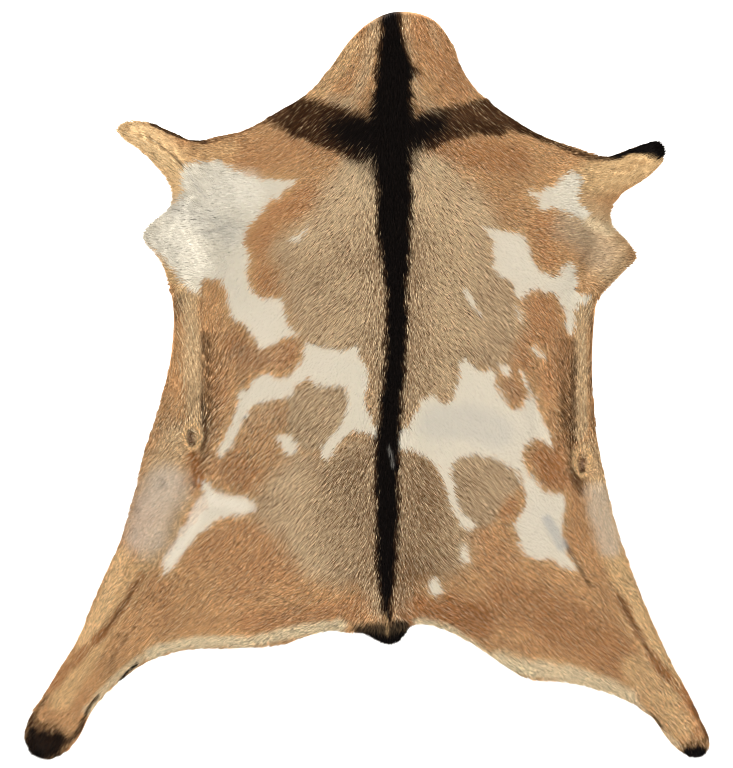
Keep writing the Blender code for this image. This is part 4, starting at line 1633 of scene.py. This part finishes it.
@dataclass(frozen=True)
class FleshFinish:
    """The tanned flesh side: buffed suede, pale and matt, with cloudy stains and a raised nap."""

    name: str = "goatskin_flesh_side_suede"
    pale: str = "#E2D3B8"
    stained: str = "#C9B08A"
    veined: str = "#B59A78"
    cloud_scale: float = 9.0          # per metre: clouds of about 110 mm
    cloud_range: Point = (0.38, 0.68)
    vein_scale: float = 34.0          # per metre: veins about 30 mm apart
    vein_width: float = 0.06          # as a share of that
    vein_share: float = 0.35
    nap_scale: float = 900.0          # per metre: nap of about 1 mm
    nap_height: float = 0.0004
    nap_bump: float = 0.6
    roughness: float = 0.92
    sheen: float = 0.25

    def make(self) -> bpy.types.Material:
        """Makes the material, patterned in the hide's own place.

        Returns:
            The new material.
        """
        material, tree, shader = new_material(self.name)
        where = {"Vector": add_node(tree, "ShaderNodeTexCoord").outputs["Object"]}
        cloud = add_node(
            tree, "ShaderNodeTexNoise",
            {"Scale": self.cloud_scale, "Detail": 5.0, "Distortion": 0.6}, where,
        )
        nap = add_node(
            tree, "ShaderNodeTexNoise", {"Scale": self.nap_scale, "Detail": 2.0}, where,
        )
        vein = add_node(
            tree, "ShaderNodeTexVoronoi", {"Scale": self.vein_scale}, where,
            feature="DISTANCE_TO_EDGE",
        )
        low, high = self.cloud_range
        clouded = add_node(
            tree, "ShaderNodeMapRange", {"From Min": low, "From Max": high},
            {"Value": cloud.outputs["Fac"]},
        )
        ground = add_node(
            tree, "ShaderNodeMix", {6: linear(self.pale), 7: linear(self.stained)},
            {0: clouded.outputs["Result"]}, data_type="RGBA",
        )
        near_vein = add_node(
            tree, "ShaderNodeMapRange",
            {"From Max": self.vein_width, "To Min": self.vein_share, "To Max": 0.0},
            {"Value": vein.outputs["Distance"]},
        )
        veined = add_node(
            tree, "ShaderNodeMix", {7: linear(self.veined)},
            {0: near_vein.outputs["Result"], 6: ground.outputs[2]}, data_type="RGBA",
        )
        bump = add_node(
            tree, "ShaderNodeBump", {"Strength": self.nap_bump, "Distance": self.nap_height},
            {"Height": nap.outputs["Fac"]},
        )
        tree.links.new(veined.outputs[2], shader.inputs["Base Color"])
        tree.links.new(bump.outputs["Normal"], shader.inputs["Normal"])
        shader.inputs["Roughness"].default_value = self.roughness
        shader.inputs["Sheen Weight"].default_value = self.sheen
        return material


def mesh_piece(name: str, corners: Array, triangles: Array) -> bpy.types.Object:
    """Makes an object of triangles.

    Args:
        name: The piece's name.
        corners: Its corners in metres, one row each.
        triangles: Three corner numbers a row, anticlockwise from outside.

    Returns:
        The new object, at the origin.
    """
    mesh = bpy.data.meshes.new(name)
    mesh.vertices.add(len(corners))
    mesh.vertices.foreach_set("co", corners.astype(np.float32).ravel())
    mesh.loops.add(triangles.size)
    mesh.loops.foreach_set("vertex_index", triangles.astype(np.int32).ravel())
    mesh.polygons.add(len(triangles))
    mesh.polygons.foreach_set("loop_start", np.arange(0, triangles.size, 3, dtype=np.int32))
    mesh.update(calc_edges=True)
    piece = bpy.data.objects.new(name, mesh)
    bpy.context.scene.collection.objects.link(piece)
    return piece


def colour_corners(mesh: bpy.types.Mesh, colours: Array) -> None:
    """Gives each corner of a mesh its coat colour.

    Args:
        mesh: The mesh.
        colours: Linear red, green and blue, one row for each corner.
    """
    full = np.ones((len(colours), 4), np.float32)
    full[:, :3] = np.clip(colours, 0.0, 1.0)
    layer = mesh.attributes.new(COLOUR_ATTRIBUTE, "FLOAT_COLOR", "POINT")
    layer.data.foreach_set("color", full.ravel())


def place_on_hide(piece: bpy.types.Object) -> bpy.types.Object:
    """Makes a piece ride with the hide and take its place.

    Args:
        piece: The finished piece.

    Returns:
        The same piece.
    """
    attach(piece, BODY)
    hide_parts(NODE)
    LOG.info("%s: %d triangles", piece.name, len(piece.data.polygons))
    return piece


@dataclass
class Skin:
    """The tanned skin: one thin sheet with the hide's outline and folds."""

    form: HideForm
    markings: Markings
    thickness: float = 1.6
    mesh_size: float = 5.5
    draw_in: float = 1.0       # the skin's edge lies this far inside the hair's outline
    clear_share: float = 0.6   # how far the field keeps off the edge, in mesh sizes
    grain_slope: float = 0.3   # faces that look up more than this are the hair side
    crease_angle: float = 40.0     # degrees; sharper edges than this stay sharp
    name: str = "skin"

    def build(self) -> bpy.types.Object:
        """Builds the skin.

        Returns:
            The finished skin.
        """
        rim = self._rim()
        places = np.vstack([rim, self._field()])
        flat = [Vector(p) for p in places]
        made = delaunay_2d_cdt(flat, [], [list(range(len(rim)))], FILL_INSIDE, SAME_POINT)
        places = np.array([(v.x, v.y) for v in made[0]])
        x, y = places.T
        z = self.form.CHART.read(self.form.under, x, y)
        triangles = np.array([face for face in made[2] if len(face) == 3])
        a, b, c = (places[triangles[:, k]] for k in range(3))
        turn = np.cross(b - a, c - a)
        triangles[turn < 0] = triangles[turn < 0][:, ::-1]
        piece = mesh_piece(self.name, np.column_stack([x, y, z]) * MM, triangles)
        self._thicken(piece)
        self._dress(piece)
        return place_on_hide(piece)

    def _rim(self) -> Array:
        """Draws the skin's cut edge a little inside the hair's outline.

        Returns:
            A ring of evenly placed points, in millimetres.
        """
        ring = self.form.rim
        runs = np.roll(ring, -1, axis=0) - np.roll(ring, 1, axis=0)
        inward = np.column_stack([-runs[:, 1], runs[:, 0]])
        inward /= np.linalg.norm(inward, axis=1, keepdims=True)
        probe = ring + inward
        depth = self.form.CHART.read(self.form.depth, *probe.T)
        inward[depth < 0] *= -1
        ring = ring + inward * self.draw_in
        dots = []
        for a, b in zip(ring, np.roll(ring, -1, axis=0)):
            parts = max(1, round(np.hypot(*(b - a)) / self.mesh_size))
            dots.extend(a + (b - a) * k / parts for k in range(parts))
        return np.array(dots)

    def _field(self) -> Array:
        """Staggers points over the skin inside its edge.

        Returns:
            The points in millimetres, one row each.
        """
        chart = self.form.CHART
        rise = self.mesh_size * math.sqrt(0.75)
        x, y = np.meshgrid(
            np.arange(chart.left, chart.left + chart.width, self.mesh_size),
            np.arange(chart.front, chart.front + chart.length, rise),
        )
        x = x + (np.arange(len(x)) % 2)[:, None] * self.mesh_size / 2
        clear = self.draw_in + self.clear_share * self.mesh_size
        kept = chart.read(self.form.depth, x, y) > clear
        return np.column_stack([x[kept], y[kept]])

    def _thicken(self, piece: bpy.types.Object) -> None:
        """Gives the sheet its thickness, upward from the flesh side.

        Args:
            piece: The sheet.
        """
        bpy.ops.object.select_all(action="DESELECT")
        piece.select_set(True)
        bpy.context.view_layer.objects.active = piece
        wall = piece.modifiers.new("thickness", "SOLIDIFY")
        wall.thickness = self.thickness * MM
        wall.offset = 1.0
        bpy.ops.object.modifier_apply(modifier=wall.name)
        bpy.ops.object.mode_set(mode="EDIT")
        bpy.ops.mesh.select_all(action="SELECT")
        bpy.ops.mesh.quads_convert_to_tris()
        bpy.ops.object.mode_set(mode="OBJECT")
        bpy.ops.object.shade_smooth_by_angle(angle=math.radians(self.crease_angle))
        piece.select_set(False)

    def _dress(self, piece: bpy.types.Object) -> None:
        """Colours the hair side and gives each side its material.

        Args:
            piece: The skin.
        """
        mesh = piece.data
        places = np.empty(len(mesh.vertices) * 3)
        mesh.vertices.foreach_get("co", places)
        x, y, _ = places.reshape(-1, 3).T / MM
        colour_corners(mesh, self.markings.even(x, y))
        mesh.materials.append(UndercoatFinish().make())
        mesh.materials.append(FleshFinish().make())
        for face in mesh.polygons:
            face.material_index = 0 if face.normal.z > self.grain_slope else 1


@dataclass
class Coat:
    """What all the hair shares: where it stands, how it lies, and its colour."""

    form: HideForm
    flow: HairFlow
    markings: Markings
    skin_thickness: float
    rim_room: float = 1.3       # no root stands nearer the rim
    least_pile: float = 0.8
    full_pile: float = 3.0      # a pile at least this deep holds all the layers as they are given
    fitting_steps: int = 9
    fitting_share: float = 0.82
    patch_seen: float = 0.6     # where along a hair its patch is picked
    middle_seen: float = 0.45   # where the streak is read that tones its middle
    tip_seen: float = 0.88

    def roots(self, count: int, rng: np.random.Generator) -> tuple[Array, Array, Array]:
        """Root places scattered evenly over the hide, with a tone for each.

        Args:
            count: The most hairs that there may be.
            rng: Source of the scatter.

        Returns:
            The x and the y of each root, and its tone, which evens out with its neighbours'.
        """
        pitch = math.sqrt(self.form.area / count)
        chart = self.form.CHART
        x, y = np.meshgrid(
            np.arange(chart.left, chart.left + chart.width, pitch),
            np.arange(chart.front, chart.front + chart.length, pitch),
        )
        tone = rng.standard_normal(x.shape)
        beside = [np.roll(tone, step, axis) for axis in (0, 1) for step in (-1, 1)]
        tone = (tone - sum(beside) / 4).ravel()
        x = (x + pitch * rng.random(x.shape)).ravel()
        y = (y + pitch * rng.random(y.shape)).ravel()
        kept = np.flatnonzero(chart.read(self.form.depth, x, y) > self.rim_room)
        if len(kept) > count:
            kept = np.sort(rng.choice(kept, count, replace=False))
        return x[kept], y[kept], tone[kept]

    def factor(self, places: Iterable[Growth], x: Array, y: Array) -> Array:
        """Reads how much longer or livelier the hair is than over the ribs.

        Args:
            places: Where it differs.
            x: Places across the hide.
            y: Places along the hide.

        Returns:
            The factor at each place.
        """
        factor = np.ones(len(x))
        for place in places:
            gap = np.hypot(x - place.centre[0], y - place.centre[1]) / place.reach
            factor *= 1 + (place.factor - 1) * np.exp(-(gap**2))
        return factor

    def fitted(self, x: Array, y: Array, way: Array, length: Array, overhang: Array) -> Array:
        """Shortens hairs whose tips would lie too far past the rim.

        Args:
            x: Roots across the hide.
            y: Roots along the hide.
            way: Each hair's direction.
            length: Each hair's full length.
            overhang: How far past the rim each tip may lie.

        Returns:
            The lengths, 0 where a hair finds no room.
        """
        kept = length.copy()
        over = np.ones(len(x), bool)
        for _ in range(self.fitting_steps):
            tip_x = x + way[:, 0] * kept
            tip_y = y + way[:, 1] * kept
            over = self.form.CHART.read(self.form.depth, tip_x, tip_y) < -overhang
            kept = np.where(over, kept * self.fitting_share, kept)
        return np.where(over, 0.0, kept)

    def height(self, x: Array, y: Array, below: Array | float) -> Array:
        """Finds the height of places below the coat's surface, less far below where it is thin.

        Args:
            x: Places across the hide.
            y: Places along the hide.
            below: How far below the surface each is where the pile is full.

        Returns:
            The heights in millimetres.
        """
        skin = self.form.CHART.read(self.form.under, x, y) + self.skin_thickness
        top = self.form.CHART.read(self.form.top, x, y)
        pile = np.maximum(top - skin, self.least_pile)
        lively = np.minimum(self.factor(LIVELINESS, x, y), pile / self.full_pile)
        return skin + pile - below * np.minimum(1.0, lively)

    def colours(self, x: Array, y: Array, run: Array, tone: Array, variety: float,
                rng: np.random.Generator) -> tuple[Array, Array, Array]:
        """The colours of hairs at mid length and at the tip.

        Args:
            x: Roots across the hide.
            y: Roots along the hide.
            run: How far each hair's tip lies from its root, across and along.
            tone: Each hair's own tone.
            variety: How far the hairs differ from each other.
            rng: Source of each hair's side at a patch's edge.

        Returns:
            The middle's and the tip's linear colours, and how far the strands' tones show.
        """
        chance = 0.5 + variety * (rng.random(len(x)) - 0.5)
        seen_x = x + self.patch_seen * run[:, 0]
        seen_y = y + self.patch_seen * run[:, 1]
        lively = self.factor(LIVELINESS, x, y)
        spread = variety * lively
        made = []
        for share in (self.middle_seen, self.tip_seen):
            at = (x + share * run[:, 0], y + share * run[:, 1])
            made.append(self.markings.hairs(seen_x, seen_y, spread * self.flow.streak(*at),
                                            variety * self.flow.lock(*at), chance, spread * tone))
        return made[0][0], made[1][0], made[0][1] * np.minimum(1.0, lively)


@dataclass
class LyingHair:
    """A layer of short lying hair: each hair a slim, closed blade that is widest near its middle."""

    name: str
    count: int
    length: float
    width: float
    deep: float                 # how far below the coat's surface the lowest tips lie
    shallow: float              # how far below it the highest lie
    root: float                 # how far below it a hair comes out of the hair under it
    seed: int
    variety: float = 1.0        # how far its hairs differ from each other in colour
    sway: float = 3.0           # degrees that single hairs stray from their tuft
    overhang: float = 2.4       # how far past the rim the longest tips lie
    tip_thinning: float = 1.5   # how much fewer tips lie far past it
    waist: float = 0.4          # where along the hair it is widest
    risen: float = 0.75         # how much of its rise it has made there
    drop: float = 0.03          # how far its sides hang below its ridge
    least_length: float = 0.8   # of the shortest hairs, as a share, and how much longer others are
    more_length: float = 0.4
    least_width: float = 0.75
    more_width: float = 0.5
    least_slimness: float = 2.0     # a hair that would be shorter for its width is left out
    cell_margin: float = 0.12

    # A blade's corners are its root, the two sides of its waist and its tip
    FACES = np.array([(0, 3, 1), (0, 2, 3), (0, 1, 2), (3, 2, 1)])
    SPOTS = np.array([(0.5, 0.0), (0.0, 0.5), (1.0, 0.5), (0.5, 1.0)])

    def build(self, coat: Coat, material: bpy.types.Material) -> bpy.types.Object:
        """Grows the layer and joins its hairs into one dressed piece.

        Args:
            coat: What all the hair shares.
            material: The hair's material.

        Returns:
            The piece.
        """
        hair = self._grown(coat)
        corners = self._blades(coat, hair)
        count, each = corners.shape[:2]
        faces = (self.FACES[None] + (np.arange(count) * each)[:, None, None]).reshape(-1, 3)
        piece = mesh_piece(self.name, corners.reshape(-1, 3) * MM, faces)
        mesh = piece.data
        middle = hair["middle"]
        colours = np.stack([middle, middle, middle, hair["tip"]], axis=1)
        colour_corners(mesh, colours.reshape(-1, 3))
        along = np.tile((0.0, self.waist, self.waist, 1.0), count)
        strand = np.stack([hair["own"].repeat(each), along, hair["shown"].repeat(each)], axis=1)
        lie = np.column_stack([hair["way"], np.zeros(count)]).repeat(each, axis=0)
        for name, vectors in ((STRAND_ATTRIBUTE, strand), (LIE_ATTRIBUTE, lie)):
            layer = mesh.attributes.new(name, "FLOAT_VECTOR", "POINT")
            layer.data.foreach_set("vector", vectors.astype(np.float32).ravel())
        bake = mesh.uv_layers.new(name=BAKE_MAP)
        places = self._cells(count)[faces.ravel()]
        bake.uv.foreach_set("vector", places.astype(np.float32).ravel())
        mesh.materials.append(material)
        return place_on_hide(piece)

    def _grown(self, coat: Coat) -> dict[str, Array]:
        """Places the hairs.

        Args:
            coat: What all the hair shares.

        Returns:
            Root, direction, length, width, depth and colours, one row for each hair.
        """
        rng = np.random.default_rng(self.seed)
        x, y, tone = coat.roots(self.count, rng)
        way = coat.flow.way(x, y)
        turn = math.radians(self.sway) * rng.standard_normal(len(x))
        angle = np.arctan2(way[:, 1], way[:, 0]) + turn
        way = np.column_stack([np.cos(angle), np.sin(angle)])
        share = self.least_length + self.more_length * rng.random(len(x))
        length = self.length * coat.factor(GROWTHS, x, y) * share
        overhang = self.overhang * rng.random(len(x)) ** self.tip_thinning
        length = coat.fitted(x, y, way, length, overhang)
        width = self.width * (self.least_width + self.more_width * rng.random(len(x)))
        below = self.deep + (self.shallow - self.deep) * rng.random(len(x))
        middle, tip, shown = coat.colours(x, y, way * length[:, None], tone, self.variety, rng)
        kept = length > self.least_slimness * self.width
        grown = {"x": x, "y": y, "way": way, "length": length, "width": width, "below": below,
                 "middle": middle, "tip": tip, "own": rng.random(len(x)), "shown": shown}
        return {key: values[kept] for key, values in grown.items()}

    def _blades(self, coat: Coat, hair: dict[str, Array]) -> Array:
        """Shapes each hair's blade in the coat.

        Args:
            coat: What all the hair shares.
            hair: The hairs as they were placed.

        Returns:
            The corners in millimetres, by hair and corner.
        """
        x, y, way = hair["x"], hair["y"], hair["way"]
        tip_x = x + way[:, 0] * hair["length"]
        tip_y = y + way[:, 1] * hair["length"]
        low = coat.height(x, y, self.root)
        high = coat.height(tip_x, tip_y, hair["below"])
        mid_x = x + (tip_x - x) * self.waist
        mid_y = y + (tip_y - y) * self.waist
        sunk = self.root + (hair["below"] - self.root) * self.risen
        middle = coat.height(mid_x, mid_y, sunk) - self.drop
        side_x = -way[:, 1] * hair["width"] / 2
        side_y = way[:, 0] * hair["width"] / 2
        corners = np.stack([
            np.column_stack([x, y, low]),
            np.column_stack([mid_x + side_x, mid_y + side_y, middle]),
            np.column_stack([mid_x - side_x, mid_y - side_y, middle]),
            np.column_stack([tip_x, tip_y, high]),
        ], axis=1)
        # A blade that bends the other way has its two sides changed, so that its faces point out
        arms = corners[:, 1:] - corners[:, :1]
        inside_out = np.einsum("ij,ij->i", np.cross(arms[:, 2], arms[:, 0]), arms[:, 1]) > 0
        corners[inside_out, 1:3] = corners[inside_out, 2:0:-1]
        return corners

    def _cells(self, count: int) -> Array:
        """Places the corners of each hair in a square of its own on the bake map.

        Args:
            count: Number of hairs.

        Returns:
            Map places, for each hair its corners in order.
        """
        side = math.ceil(math.sqrt(count))
        number = np.arange(count)
        corner = np.column_stack([number % side, number // side])
        room = self.cell_margin + (1 - 2 * self.cell_margin) * self.SPOTS
        return ((corner[:, None, :] + room[None]) / side).reshape(-1, 2)


@dataclass
class Studio:
    """A white floor, soft light from all round and the camera straight above the hide."""

    picture_width: float = 733.0
    picture_height: float = 768.0
    hide_pixels: float = 749.2              # neck edge to hind leg ends in the photograph
    hide_middle: Point = (366.9, 385.3)     # middle of the hide's box in the photograph
    lens: float = 85.0
    sensor: float = 36.0
    surface: float = 5.0                    # the coat's usual height
    floor_size: float = 7.0
    floor_gap: float = 0.3
    floor_colour: str = "#F6F6F5"
    floor_roughness: float = 0.9
    picture_blur: float = 1.0               # in pixels, as sharp as the photograph
    near: float = 0.05                      # where the camera's sight starts and ends, in metres
    far: float = 50.0
    sky: float = 1.73
    lamps: tuple[tuple[str, Place, float, float], ...] = (
        ("key_softbox", (-1.5, 1.5, 2.6), 1.6, 38.0),
        ("fill_softbox", (1.7, 1.0, 2.5), 2.2, 22.0),
    )

    def set_up(self) -> None:
        """Makes the floor, the lights and the camera."""
        bpy.context.scene.view_settings.view_transform = "Standard"
        bpy.context.scene.cycles.filter_width = self.picture_blur
        self._floor()
        self._sky()
        for name, place, size, power in self.lamps:
            self._lamp(name, place, size, power)
        self._camera()

    def _floor(self) -> None:
        """Lays the floor just under the hide: matt white card, which gives an even, dull white."""
        bpy.ops.object.select_all(action="DESELECT")
        bpy.ops.mesh.primitive_plane_add(
            size=self.floor_size, location=(0.0, 0.0, -self.floor_gap * MM)
        )
        floor = bpy.context.object
        floor.name = "floor"
        bpy.ops.object.transform_apply(location=True)
        material, _, shader = new_material("white_card_matt")
        shader.inputs["Base Color"].default_value = linear(self.floor_colour)
        shader.inputs["Roughness"].default_value = self.floor_roughness
        shader.inputs["Specular IOR Level"].default_value = 0.0
        floor.data.materials.append(material)

    def _sky(self) -> None:
        """Lights the hide evenly in white from all round."""
        world = bpy.data.worlds.new("studio")
        world.use_nodes = True
        background = world.node_tree.nodes["Background"]
        background.inputs["Color"].default_value = (1.0, 1.0, 1.0, 1.0)
        background.inputs["Strength"].default_value = self.sky
        bpy.context.scene.world = world

    def _lamp(self, name: str, place: Place, size: float, power: float) -> None:
        """Puts up one softbox, turned towards the hide.

        Args:
            name: The lamp's name.
            place: Where it stands, in metres.
            size: Its side, in metres.
            power: Its power in watts.
        """
        bpy.ops.object.light_add(type="AREA", location=place)
        lamp = bpy.context.object
        lamp.name = name
        lamp.data.shape = "SQUARE"
        lamp.data.size = size
        lamp.data.energy = power
        lamp.rotation_euler = Vector(place).to_track_quat("Z", "Y").to_euler()

    def _camera(self) -> None:
        """Frames the camera as the photograph is, by its taller side."""
        pixel = (CAD_HIGH.y - CAD_LOW.y) / self.hide_pixels
        high = self.picture_height * pixel * self.lens / self.sensor
        middle_x = (self.picture_width / 2 - self.hide_middle[0]) * pixel
        middle_y = (self.hide_middle[1] - self.picture_height / 2) * pixel
        centre = (CAD_LOW + CAD_HIGH) / 2
        place = (centre.x + middle_x, centre.y + middle_y, high + self.surface * MM)
        bpy.ops.object.camera_add(location=place, rotation=(0.0, 0.0, 0.0))
        camera = bpy.context.object
        camera.name = "camera"
        camera.data.lens = self.lens
        camera.data.sensor_width = self.sensor
        camera.data.clip_start = self.near
        camera.data.clip_end = self.far
        bpy.context.scene.camera = camera


# The layers of hair from the skin upward, with the longer guard hairs last
LAYERS = (
    LyingHair("hair_down", 49_900, 10.0, 2.6, 1.3, 1.0, root=3.0, seed=101, variety=0.1),
    LyingHair("hair_lower", 49_900, 9.5, 1.5, 0.95, 0.65, root=1.65, seed=102, variety=0.2),
    LyingHair("hair_middle", 49_900, 8.5, 0.95, 0.6, 0.3, root=1.05, seed=103, variety=0.6),
    LyingHair("hair_upper", 49_900, 7.5, 0.75, 0.28, 0.0, root=0.75, seed=104),
    LyingHair("hair_guard", 26_900, 10.0, 0.5, 0.1, -0.4, root=0.8, seed=105, sway=6.0,
              overhang=3.2),
)


def main() -> None:
    """Builds the hide from the skin up, then the studio."""
    logging.basicConfig(level=logging.INFO, format="%(message)s")
    form = HideForm(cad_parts[NODE])
    flow = HairFlow()
    markings = Markings()
    skin = Skin(form, markings)
    sheet = skin.build()
    coat = Coat(form, flow, markings, skin.thickness)
    material = HairFinish().make()
    hair = [layer.build(coat, material) for layer in LAYERS]
    Studio().set_up()


if __name__ == "__main__":
    main()
